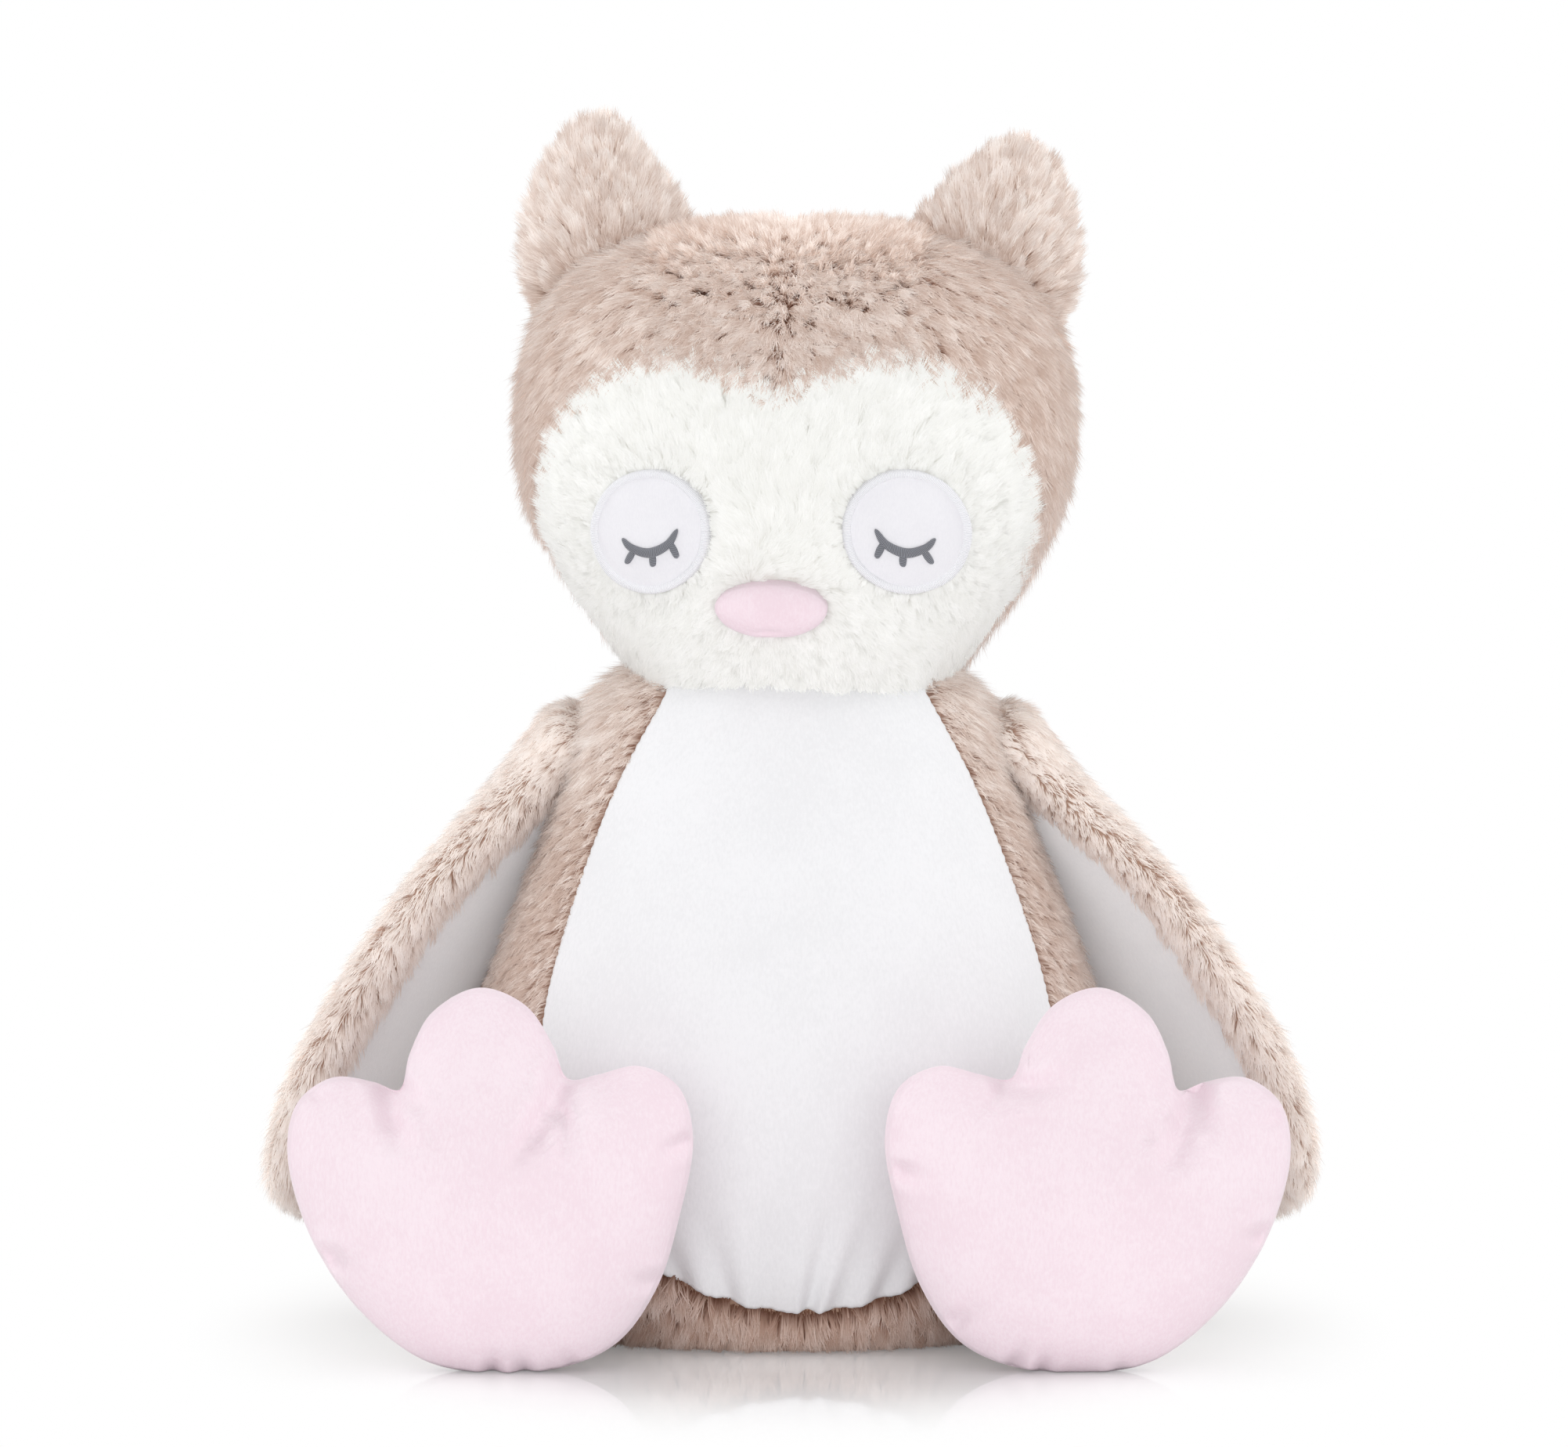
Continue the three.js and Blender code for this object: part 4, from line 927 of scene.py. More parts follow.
def belly_surface(x, z, edge):
    """How far the belly cloth stands off its form: a rolled edge, and a valley and ridge for each fold."""
    out = ROLL * np.sqrt(1 - (1 - held(edge / ROLL)) ** 2) - 0.2
    for (x0, z0), (x1, z1), half, depth in FOLDS:
        run = np.clip((z - z0) / (z1 - z0), -0.2, 1.3)
        away = np.abs(x - (x0 + (x1 - x0) * run))
        spread = half * (0.7 + 0.9 * held(run))
        fade = held(1.15 - run) ** 1.3
        valley, ridge = np.exp(-((away / spread) ** 2)), np.exp(-(((away - 2 * spread) / spread) ** 2))
        out = out + FOLD_SHARE * depth * fade * (0.45 * ridge - valley)
    return out


print("folds:", len(FOLDS))

# %% Belly
BELLY_RINGS, BELLY_SPOKES, BELLY_HUB = 110, 720, np.array([0, 95.0])
belly_ring = even_outline(belly_keys, BELLY_SPOKES)
belly_ring[:, 1] = np.maximum(belly_ring[:, 1], seat_level(belly_ring[:, 0]) + 0.2)
stitches = np.cos(2 * np.pi * run_along(belly_ring) / STITCH)
belly_ring = belly_ring + unit(belly_ring - BELLY_HUB) * (SEAM_OVERHANG + 0.07 * stitches)[:, None]
spots = fanned(belly_ring, BELLY_HUB, 1 - (1 - np.linspace(0, 1, BELLY_RINGS)) ** 1.6)
x, z = spots.reshape(-1, 2).T
edge = np.minimum(distance_to(belly_ring[::2], x, z), NO_SEAM)
dents = 0.12 * np.tile(stitches, BELLY_RINGS) * np.exp(-((edge - 0.8) ** 2))
out = belly_surface(x, z, edge) + dents
out = out + 0.5 * drift(columns(x, z, 0.0), 26, 91)
points = body_form.off_front(x, z, out)
new_piece("belly_velour", points, facing(points, quads(BELLY_RINGS, BELLY_SPOKES)), belly_velour,
          stands_for=["belly_panel", "body_filling"])
print("belly points:", len(points), "stand off the form by up to", out.max().round(1), "mm")

# %% [markdown]
# ## Head
# Two crown panels meet in the middle of the forehead, where the pile fans out to both sides of the seam.
# The side panels are combed back and down. The face is long white pile, combed outwards from the beak, and
# its edge hangs over the brown panels round it. It is pressed short round the eye patches, so that they sit
# in soft hollows. Pile of one length and one lie would look like carpet, so both change from place to
# place.

# %% Head seams
FACE_HALF_WIDTH, FACE_BOTTOM, FACE_TOP = 62.5, 12, 97
FACE_SHARES = [(0, 0.905), (0.07, 0.935), (0.28, 0.985), (0.53, 1), (0.79, 0.915), (0.94, 0.77), (1, 0.58),
               (0.95, 0.38), (0.83, 0.22), (0.69, 0.08), (0.5, 0), (0.24, -0.03), (0, -0.035)]
face_outline = even_outline(both_sides(sized(FACE_SHARES, FACE_HALF_WIDTH, FACE_BOTTOM, FACE_TOP)), 240)
CROWN_HALF, NAPE_HALF, NAPE_LEVEL, CROWN_LEVEL = 34, 19, 27, 80
NECK_MIDDLE, NECK_SIZE = [0, -3.5], [50, 45]

head_skin = Skin(head_form, 76, 170)
hx, hy, hz = head_skin.middles.T
on_face = (hy < 0) & inside(face_outline, hx, hz)
crown_half = np.interp(hz, [NAPE_LEVEL, CROWN_LEVEL], [NAPE_HALF, CROWN_HALF])
on_crown = ~on_face & (np.abs(hx) < crown_half) & (hz > NAPE_LEVEL)
from_neck = (head_form.world(head_skin.middles)[:, :2] - NECK_MIDDLE) / NECK_SIZE
under = (np.linalg.norm(from_neck, axis=1) < 1) & (hz < 14)
print("head faces:", len(hx), "face:", on_face.sum(), "crown:", on_crown.sum())


# %% Crown and head sides
def face_edge(points):
    """The brown pile is shorter close to the seam of the face, so the white pile lies over it."""
    x, y, z = points.T
    return 0.6 + 0.4 * held(distance_to(face_outline[::4], x, z) / 5) ** np.where(y < 0, 1, 0)


def crown_comb(points):
    """Out to the sides of the middle seam and forwards, turning down at the back."""
    x, y, z = points.T
    side = np.tanh((x + 5.0 * drift(points, 5, 51)) / 2.5) * 0.6
    return columns(side, -0.8 * np.where(y < 0, 1.0, -0.2), -0.55 - 0.35 * (y > 0))


def crown_length(points):
    return 8.8 * (0.8 + 0.2 * held(np.abs(points[:, 0]) / 3)) * face_edge(points)


def temple_comb(points):
    """Back and down, and less steeply low on the cheeks."""
    return columns(0.35 * np.sign(points[:, 0]), 0.25, -1 + 0.2 * (points[:, 2] < 30))


def temple_length(points):
    return 9.4 * np.clip(0.75 + 0.25 * (points[:, 2] - 5) / 40, 0.75, 1) * face_edge(points)


def temple_painted_shade(points):
    """Painted shade: darker towards the outline of the head, where its sides turn from the light."""
    return 0.26 - 0.24 * held((np.abs(points[:, 0]) - 52) / 16)


for name, sign in SIDES:
    half = hx * sign > 0
    filling = ["head_filling"] if sign > 0 else []
    form_cloth(f"crown_{name}_cloth", head_skin, on_crown & half, brown_backing, f"crown_{name}", *filling)
    weight = (on_crown & half) * np.where(hy < 10, 1.7, 0.7)
    form_pile(f"crown_{name}_pile", head_skin, weight, 62000, brown_pile, crown_comb, crown_length, 42.0,
              0.33, tuft=1.6, gather=0.66, wild=20.0, sway=30.0, width=0.3, salt=11)
    side = ~on_face & ~on_crown & half
    form_cloth(f"head_side_{name}_cloth", head_skin, side, brown_backing, f"head_side_{name}")
    weight = side * ~under * np.where(hy < 0, 1.3, 0.9)
    form_pile(f"head_side_{name}_pile", head_skin, weight, PILE_COUNT, brown_pile, temple_comb, temple_length,
              57.0, temple_painted_shade, tuft=2.0, gather=0.55, wild=13.0, salt=13)

# %% Face
EYE_X, EYE_Z, EYE_RADIUS = 33, 54.5, 16
BEAK_Z, PILE_HEART = 35.5, 41


def from_eye(points):
    x, y, z = points.T
    return np.hypot(np.abs(x) - EYE_X, z - EYE_Z)


def face_comb(points):
    """Outwards from the beak, and away from each eye close to it. Low on the cheeks it turns down."""
    x, y, z = points.T
    aside, upwards = 26 * drift(points, 15, 71), 26 * drift(points, 15, 72)
    out = unit(columns(x * 0.9 + aside, 0.0, z - PILE_HEART + upwards))
    down = columns(0.2 * x / 60, 0.0, -1.0)
    away = unit(columns((np.abs(x) - EYE_X) * np.sign(x), 0.0, z - EYE_Z))
    near = np.exp(-np.clip(from_eye(points) - EYE_RADIUS, 0, 50) / 5)[:, None]
    low, cheek = held((PILE_HEART + 6 - z) / 30)[:, None], held((np.abs(x) - 25) / 20)[:, None]
    return (out + (0.6 + 1.2 * cheek) * down * low) * (1 - near) + away * near


def face_length(points):
    """Ragged and long at the chin, short on the cheeks, shorter still round the eyes and the beak."""
    x, y, z = points.T
    rim = distance_to(face_outline[::4], x, z)
    cheek = held((np.abs(x) - 25) / 12) * (z < 50)
    chin = held((36 - z) / 16) * (1 - cheek)
    ragged = 3.0 * drift(points, 5, 75) * chin
    long = 8.2 + (5.4 * chin - 1.0 - 1.6 * cheek + ragged) * held(1 - rim / 12)
    near, beak = held((from_eye(points) - EYE_RADIUS) / 7), held((np.hypot(x / 1.7, z - BEAK_Z) - 8) / 8)
    return long * (0.45 + 0.55 * near) * (0.55 + 0.45 * beak)


def face_lean(points):
    x, y, z = points.T
    near = held((from_eye(points) - EYE_RADIUS) / 9)
    rim = held(distance_to(face_outline[::4], x, z) / 9)
    return 58 + 14 * near * rim - 10 * (1 - rim) * (z > 36)


form_cloth("face_cloth", head_skin, on_face, white_backing, "face_panel")
clear = (from_eye(head_skin.middles) > EYE_RADIUS - 1.8) & (np.hypot(hx / 1.9, hz - BEAK_Z) > 6.2)
for name, sign in SIDES:
    half = (hx > 0) == (sign > 0)
    form_pile(f"face_pile_{name}", head_skin, on_face & clear & half, 46000, white_pile, face_comb,
              face_length, face_lean, 0.16, tuft=2.8, gather=0.3, width=0.34, wild=6.0, sway=22.0, salt=17)

# %% [markdown]
# ## Eyes
# Each eye is a round velour patch, edged with satin stitches that run across the edge like spokes, with a
# closed lid and three lashes in grey satin stitch. The stitches could be drawn on the patch, but here the
# strands of thread are real ridges, because their shine breaks on them. Their colour also carries a painted
# highlight on each strand and painted shade between them.

# %% Eye patches and borders
PATCH_OUT, RIM_OUT = 2.0, -0.4
BORDER_HALF, BORDER_RISE, BORDER_STRANDS = 1.35, 1.25, 250
SATIN_ACROSS = np.linspace(-1, 1, 11)


def round_eye(sign, radius, angle, out):
    """Points at a radius and angle round the middle of an eye, a distance off the head."""
    x, z, out = columns(sign * EYE_X + radius * np.cos(angle), EYE_Z + radius * np.sin(angle), out).T
    return head_form.off_front(x, z, out)


across = SATIN_ACROSS[:, None]
for name, sign in SIDES:
    radius = np.linspace(0, 1, 24)[:, None] * (EYE_RADIUS - BORDER_HALF)
    points = round_eye(sign, radius, full_turn(120), PATCH_OUT + 0.9 * (1 - (radius / EYE_RADIUS) ** 4))
    patch = new_piece(f"eye_patch_{name}_velour", points, facing(points, quads(24, 120)), eye_velour,
                      stands_for=[f"eye_patch_{name}"])

    angle = full_turn(BORDER_STRANDS * 4)
    ripple = 0.12 * np.sin(7 * angle + sign) * (1 - across**2)
    rise = RIM_OUT + (PATCH_OUT - 0.7 - RIM_OUT) * np.sqrt(1 - across**8)
    rise = rise + (BORDER_RISE + 0.6) * np.sqrt(1 - across**2)
    rise = rise + 0.07 * np.cos(BORDER_STRANDS * angle) * (1 - across**2)
    points = round_eye(sign, EYE_RADIUS - 1.2 + BORDER_HALF * across + ripple, angle, rise)
    drawn = columns(across, BORDER_STRANDS * angle / (2 * np.pi))
    new_piece(f"eye_border_{name}_stitches", points, facing(points, quads(11, len(angle))), white_thread,
              stands_for=[f"eye_border_{name}"], maps={STRAND_MAP: drawn})
print("strands round each eye:", BORDER_STRANDS)

# %% Lids and lashes
EYE_ACROSS, EYE_DROP = 7.3, 8.8
LID = [(-1.08, -0.08), (-0.72, 0.36), (-0.05, 0.6), (0.6, 0.44), (0.92, 0.17)]
LASHES = [[(-0.8, 0.3), (-1.06, 0.76)], [(-0.16, 0.6), (-0.18, 1)], [(0.5, 0.5), (0.8, 0.9)]]
STRAND = 0.36


def satin_stroke(sign, keys, width, taper, lift):
    """A crowned ribbon of slanted strands along a line on an eye patch, as points, faces and map."""
    fine = smooth(np.array(keys) * [EYE_ACROSS, -EYE_DROP], np.linspace(0, 1, 400 if len(keys) > 2 else 2))
    end = run_along(fine)[-1]
    steps = max(24, int(end / STRAND * 5))
    at = np.linspace(0, end, steps)
    line = read_along(fine, at)
    way = unit(np.gradient(line, axis=0))
    side = np.column_stack([-way[:, 1], way[:, 0]])
    middle = np.abs(2 * (at / end) - 1)
    ends = np.sqrt(held(1 - middle**8))
    half = (width / 2 * (1 - taper * middle**1.5) * np.maximum(ends, 0.12))[:, None]
    spots = line[:, None] + side[:, None] * (half * SATIN_ACROSS)[..., None]
    strand = at[:, None] / STRAND + SATIN_ACROSS * 0.9
    crown = np.sqrt(held(1 - SATIN_ACROSS**2))
    rise = lift + 0.75 * crown * np.minimum(1, half / (width / 2) + 0.2)
    rise = rise + 0.07 * np.cos(2 * np.pi * strand) * crown
    x, z, out = columns(sign * (EYE_X + spots[..., 0]), EYE_Z + spots[..., 1], PATCH_OUT + 0.75 + rise).T
    points = head_form.off_front(x, z, out)
    return points, facing(points, quads(steps, 11, wrap=False)), columns(0.0, strand)


for name, sign in SIDES:
    strokes = [satin_stroke(sign, LID, 2.5, 0.45, 0.3)]
    strokes += [satin_stroke(sign, lash, 1.9, 0.3, 0.1) for lash in LASHES]
    points, faces, drawn = zip(*strokes)
    first = np.cumsum([0] + [len(part) for part in points])
    faces = np.vstack([part + start for part, start in zip(faces, first)])
    new_piece(f"lashes_{name}_stitches", np.vstack(points), faces, grey_thread, stands_for=[f"lashes_{name}"],
              maps={STRAND_MAP: np.vstack(drawn)})
print("strokes on each eye:", len(strokes))

# %% [markdown]
# ## Stuffed pillows
# The feet and the beak are flat panels sewn together and stuffed. A plain dome would bulge in the notches
# between the toes. The height of such a pillow follows the shape that a stretched skin takes under even
# pressure, so it is found by solving for one on a fine lattice: the skin stays low in a notch and swells
# evenly in the middle, as the filling does.


# %% Pillow heights
def pressed_skin(outline, pitch):
    """Heights from 0 to 1 of a skin held along an outline under even pressure, as a lookup."""
    low, high = outline.min(axis=0) - 2 * pitch, outline.max(axis=0) + 2 * pitch
    size = np.ceil((high - low) / pitch).astype(int) + 1
    x, z = (low[k] + pitch * np.arange(size[k]) for k in (0, 1))
    room = inside(outline, *np.meshgrid(x, z))
    skin = np.zeros(room.shape)
    for _ in range(3000):
        near = skin[:-2, 1:-1] + skin[2:, 1:-1] + skin[1:-1, :-2] + skin[1:-1, 2:]
        skin[1:-1, 1:-1] = np.where(room[1:-1, 1:-1], (near + 1) / 4, 0)
    skin = skin / skin.max()

    def height(px, pz):
        u, v = (np.clip((p - low[k]) / pitch, 0, size[k] - 1.001) for k, p in enumerate((px, pz)))
        i, j = u.astype(int), v.astype(int)
        a, b = u - i, v - j
        return (skin[j, i] * (1 - a) * (1 - b) + skin[j, i + 1] * a * (1 - b)
                + skin[j + 1, i] * (1 - a) * b + skin[j + 1, i + 1] * a * b)

    return height


def quarter_turn(count):
    """How far out the rings of a pillow lie. They crowd towards its rim, where it is steep."""
    return np.sin(np.linspace(0, np.pi / 2, count))


print("rings of a small pillow:", quarter_turn(5).round(2))

# %% Foot outline
FOOT_SHARES = [
    (0.05, 0), (0.34, 0.035), (0.66, 0.17), (0.9, 0.37), (1, 0.575), (0.95, 0.7), (0.78, 0.765),
    (0.58, 0.755), (0.455, 0.735), (0.4, 0.83), (0.29, 0.935), (0.06, 1), (-0.17, 0.955), (-0.31, 0.85),
    (-0.385, 0.765), (-0.53, 0.775), (-0.74, 0.795), (-0.93, 0.74), (-1, 0.61), (-0.93, 0.4), (-0.82, 0.22),
    (-0.63, 0.08), (-0.37, 0.015)]
FOOT_HALF_WIDTH, FOOT_HEIGHT, FOOT_HUB = 52, 98.5, np.array([0, 50])
FOOT_RINGS, FOOT_SPOKES = 90, 720
HIP, LEG_LENGTH = np.array([68.0, -58.0, 26.0]), 39
FOOT_OFFSET, STAND_DEPTH, SOLE = 8.3, 0.5, 0.02
foot_outline = even_outline(sized(FOOT_SHARES, FOOT_HALF_WIDTH, 0, FOOT_HEIGHT), FOOT_SPOKES)
foot_height = pressed_skin(foot_outline[::3], 1.0)
print("foot, mm:", np.ptp(foot_outline, axis=0).round(1))

# %% Foot creases
CREASE_STRENGTH = 2.1
CREASES = {  # line, half width, depth
    "right": [([(27, 76), (25, 69), (22.5, 61)], 2.6, 2.4), ([(23, 74), (17, 69)], 2.4, 1.6),
              ([(-18.5, 77), (-17, 71), (-14.5, 67), (-8.5, 59)], 2.8, 2.2),
              ([(-19.5, 66), (-19.8, 57)], 2.4, 1.2), ([(40, 30), (36, 28.5)], 2.6, 1.8),
              ([(-0.5, 0), (-1.5, 5)], 2.0, 1.5), ([(-9, 0), (-8, 5)], 2.0, 1.4),
              ([(-22, 0), (-20, 5)], 2.0, 1.2), ([(-50, 59), (-45, 57)], 2.2, 1.4),
              ([(-42, 24), (-37, 25)], 2.2, 1.2), ([(46, 73), (42, 69)], 2.0, 1.0)],
    "left": [([(28, 77), (29, 70), (29.5, 62)], 2.6, 2.4), ([(26.5, 73), (24, 65), (20, 57)], 2.8, 2.2),
             ([(-21, 76), (-16, 74), (-9, 76)], 2.6, 1.8), ([(-22, 73), (-26, 68)], 2.4, 1.2),
             ([(-48, 52), (-43, 51)], 2.2, 1.3), ([(-19, 3), (-17, 7)], 2.0, 1.4),
             ([(-12, 1), (-11, 6)], 2.0, 1.2), ([(8, 0), (8, 4)], 2.0, 1.0),
             ([(44, 36), (40, 35)], 2.2, 1.3), ([(-34, 14), (-30, 17)], 2.2, 1.0),
             ([(48, 66), (43, 64)], 2.0, 1.0)]}


def creased(name, x, z):
    """How deep the folds of a foot's front are at (x, z): a valley with a soft ridge on each side."""
    total = np.zeros(x.shape)
    for line, half, depth in CREASES[name]:
        fine = smooth(line, np.linspace(0, 1, 16)) if len(line) > 2 else np.array(line, float)
        away, run = nearest_on(fine, x, z, closed=False)
        length = np.linalg.norm(np.diff(fine, axis=0), axis=1).sum()
        fade = held(1.15 - run / length) ** 0.8
        valley, ridge = np.exp(-((away / half) ** 2)), np.exp(-(((away - 2 * half) / half) ** 2))
        total += CREASE_STRENGTH * depth * fade * (valley - 0.35 * ridge)
    return total


print("creases:", {name: len(creases) for name, creases in CREASES.items()})


# %% Foot panels
def foot_side(name, bulge, front, sign):
    """One panel of a foot as a grid of points in the toy's frame, with puckers at its seam and soft lumps."""
    spread = quarter_turn(FOOT_RINGS) ** 0.9
    spots = fanned(foot_outline, FOOT_HUB, spread)
    x, z = spots[..., 0], spots[..., 1]
    edge = (1 - spread[:, None]) * np.linalg.norm(foot_outline - FOOT_HUB, axis=1)
    swell = foot_height(x, z) ** 0.46 * held(edge / 1.2) ** 0.5
    salt = 40 if front else 60
    ring = columns(run_along(foot_outline), 0.0, 0.0) + sign * 400
    pucker = drift(ring, 6.5, salt) * 1.5 + drift(ring, 3.1, salt + 1) * 0.6
    dent = pucker * soft_noise(ring, 30, salt + 2) ** 1.5 * np.exp(-edge / 6.5) * held(edge / 1.5)
    lump = drift(columns(x, z, 31.0 * sign), 24, salt + 3) * 1.6
    depth = bulge * swell + dent * 1.6 + lump.reshape(x.shape) * swell
    if front:
        depth = np.maximum(depth - creased(name, x, z) * held(depth / 3), 0)
    y = -depth if front else depth
    points = np.stack([x + FOOT_OFFSET, y - LEG_LENGTH, z - HIP[2] - STAND_DEPTH], axis=-1)
    points = mirrored(points + HIP, sign)
    points[..., 2] = np.maximum(points[..., 2], SOLE)
    return points


print("a foot before it is stuffed, mm:", np.ptp(foot_side("left", 19, True, 1), axis=(0, 1)).round(1))

# %% [markdown]
# The filling pushes the sewn skin out until the cloth stops it, and the spare cloth wrinkles. A cloth
# simulation does this: a closed copy of the foot is blown up for twenty frames without gravity, and the way
# that each of its points has moved is carried over to the fine panels. The seam keeps its cut line, so most
# of the sideways move is left out.

# %% Stuffing by simulation
SIM_VOXEL, SIM_PRESSURE, SIM_FRAMES, SIM_REACH = 4.5, 4.0, 20, 5.0
SEAM_HOLD = np.array([0.1, 1.0, 0.1])


def worked(piece):
    """A piece as its modifiers make it."""
    return piece.evaluated_get(bpy.context.evaluated_depsgraph_get())


def places_of(mesh):
    flat = np.empty(len(mesh.vertices) * 3, np.float32)
    mesh.vertices.foreach_get("co", flat)
    return flat.reshape(-1, 3) / MM


def stuffed_moves(points, faces):
    """Blows a closed skin up with the cloth solver. Returns its points and their moves, in millimetres."""
    scene = bpy.context.scene
    mesh = bpy.data.meshes.new("skin to blow up")
    mesh.from_pydata((points * MM).tolist(), [], faces.tolist())
    skin = bpy.data.objects.new("skin to blow up", mesh)
    scene.collection.objects.link(skin)
    remesh = skin.modifiers.new("even cells", "REMESH")
    remesh.mode, remesh.voxel_size = "VOXEL", SIM_VOXEL * MM
    even = bpy.data.meshes.new_from_object(worked(skin))
    skin.modifiers.clear()
    skin.data = even
    cloth = skin.modifiers.new("cloth", "CLOTH")
    cloth.settings.use_pressure = True
    cloth.settings.uniform_pressure_force = SIM_PRESSURE
    cloth.settings.effector_weights.gravity = 0
    cloth.point_cache.frame_start, cloth.point_cache.frame_end = 1, SIM_FRAMES
    for number in range(1, SIM_FRAMES + 1):
        scene.frame_set(number)
    start, end = places_of(even), places_of(worked(skin).to_mesh())
    bpy.data.objects.remove(skin)
    scene.frame_set(1)
    move = end - start
    move = move - move.mean(axis=0)
    size = np.linalg.norm(move, axis=1, keepdims=True)
    return start, move * SEAM_HOLD * np.minimum(1, SIM_REACH / np.maximum(size, 1e-9))


print("simulation:", SIM_FRAMES, "frames, cells of", SIM_VOXEL, "mm")


# %% Carrying the moves over
def tree_of(points):
    tree = kdtree.KDTree(len(points))
    for index, spot in enumerate(points):
        tree.insert(spot, index)
    tree.balance()
    return tree


def carried(points, start, move):
    """The moves of the nearest points of a simulated skin, shared out by nearness."""
    tree, result = tree_of(start), np.zeros_like(points)
    for index, spot in enumerate(points):
        near = tree.find_n(spot, 5)
        shares = np.array([1 / (away**2 + 0.5) for _, _, away in near])
        result[index] = shares @ move[[found for _, found, _ in near]] / shares.sum()
    return result


# %% Feet
PANELS = {"front": (0, -1, 0), "back": (0, 1, 0)}  # the way that each panel of a foot or an ear looks
FRONT_BULGE, BACK_BULGE = 19, 14


def panel_nodes(part, label):
    return [f"{part}_{label}"] + ([f"{part}_filling"] if label == "front" else [])


for name, sign in SIDES:
    sides = {"front": foot_side(name, FRONT_BULGE, True, sign),
             "back": foot_side(name, BACK_BULGE, False, sign)}
    coarse = [grid[4::5, ::10] for grid in sides.values()]
    cells = quads(*coarse[0].shape[:2])
    coarse = [grid.reshape(-1, 3) for grid in coarse]
    start, move = stuffed_moves(np.vstack(coarse), np.vstack([cells, cells[:, ::-1] + len(coarse[0])]))
    print(f"foot {name}: {len(start)} simulated points, moved up to {np.abs(move).max():.1f} mm")
    for grid in sides.values():
        grid += carried(grid.reshape(-1, 3), start, move).reshape(grid.shape)
        grid[..., 2] = np.maximum(grid[..., 2], SOLE)
    for label, grid in sides.items():
        points = grid.reshape(-1, 3)
        faces = facing(points, quads(*grid.shape[:2]), PANELS[label])
        new_piece(f"foot_{name}_{label}_velour", points, faces, foot_velour, f"leg_{name}",
                  panel_nodes(f"foot_{name}", label))

# %% Beak
BEAK_HALF, BEAK_TOP, BEAK_LOW, BEAK_ASIDE = 14.6, 6.0, 7.4, 1.5
BEAK_SHARES = [(-1, 0.02), (-0.86, 0.52), (-0.46, 0.88), (0.02, 1.0), (0.5, 0.84), (0.85, 0.46), (1, -0.05),
               (0.84, -0.58), (0.46, -0.92), (0, -1.0), (-0.46, -0.9), (-0.86, -0.5)]
beak_keys = [(u * BEAK_HALF, v * (BEAK_TOP if v > 0 else BEAK_LOW)) for u, v in BEAK_SHARES]
beak_outline = even_outline(beak_keys, 240)
beak_height = pressed_skin(beak_outline, 0.4)
spread = quarter_turn(40)
x, z = fanned(beak_outline, 0, spread).reshape(-1, 2).T
tuck = 0.9 * np.exp(-((z + 4.6) / 0.9) ** 2) * np.exp(-((x + 0.5) / 3.6) ** 2)
rim_gap = ((1 - spread[:, None]) * np.linalg.norm(beak_outline, axis=1)).ravel()
wall = held(rim_gap / 0.3) ** 0.5
out = RIM_OUT * (1 - wall) + (2.0 + 7.2 * beak_height(x, z) ** 0.5) * wall - tuck
points = head_form.off_front(x - BEAK_ASIDE, z + BEAK_Z, out)
new_piece("beak_velour", points, facing(points, quads(40, 240)), beak_velour, stands_for=["beak"])
print("the beak stands off the head by", out.max().round(1), "mm")

# %% [markdown]
# ## Ears
# An ear is two small panels of pile with a thin filling, sewn to the head along its base. Its pile is
# combed up and out from the base, so it stands beyond the edge all round. In the crease where it meets the
# head it is short, and tinted darker as painted shade. Two panels, and not one lump, give it the crisp rim
# of a sewn edge.

# %% Ear panels
EAR_SHARES = [(0.83, -0.1), (0.9, 0.15), (0.87, 0.46), (0.66, 0.76), (0.4, 0.93), (0.08, 1), (-0.2, 0.9),
              (-0.53, 0.65), (-0.85, 0.39), (-1.05, 0.12), (-0.95, -0.2), (-0.6, -0.42), (0, -0.5),
              (0.55, -0.4)]
EAR_HALF_WIDTH, EAR_HEIGHT, EAR_HALF_THICKNESS, EAR_RINGS = 22.5, 41, 7, 26
EAR_PLACE = {"left": (50.5, -5, 115.5), "right": (50.5, -5, 121)}
EAR_YAW, EAR_LEAN = 10, {"left": 10, "right": 0}
EAR_HUB = np.array([0, EAR_HEIGHT * 0.25])
ear_outline = even_outline(sized(EAR_SHARES, EAR_HALF_WIDTH, 0, EAR_HEIGHT), 160)


def ear_matrix(name):
    a, b = math.radians(EAR_YAW), math.radians(EAR_LEAN[name])
    yaw = np.array([[math.cos(a), -math.sin(a), 0], [math.sin(a), math.cos(a), 0], [0, 0, 1]])
    lean = np.array([[math.cos(b), 0, math.sin(b)], [0, 1, 0], [-math.sin(b), 0, math.cos(b)]])
    return yaw @ lean


def ear_grid(name, sign, front):
    spots = fanned(ear_outline, EAR_HUB, quarter_turn(EAR_RINGS))
    swell = np.cos(np.linspace(0, np.pi / 2, EAR_RINGS))[:, None] + 0 * spots[..., 0]
    y = EAR_HALF_THICKNESS * swell * (-1 if front else 1)
    local = np.stack([spots[..., 0], y, spots[..., 1]], axis=-1)
    return head_form.world(mirrored(local @ ear_matrix(name).T + EAR_PLACE[name], sign))


def ear_way(name, sign, ways):
    return head_form.turned(mirrored(ways @ ear_matrix(name).T, sign))


print("ear, mm:", np.ptp(ear_outline, axis=0).round(1))

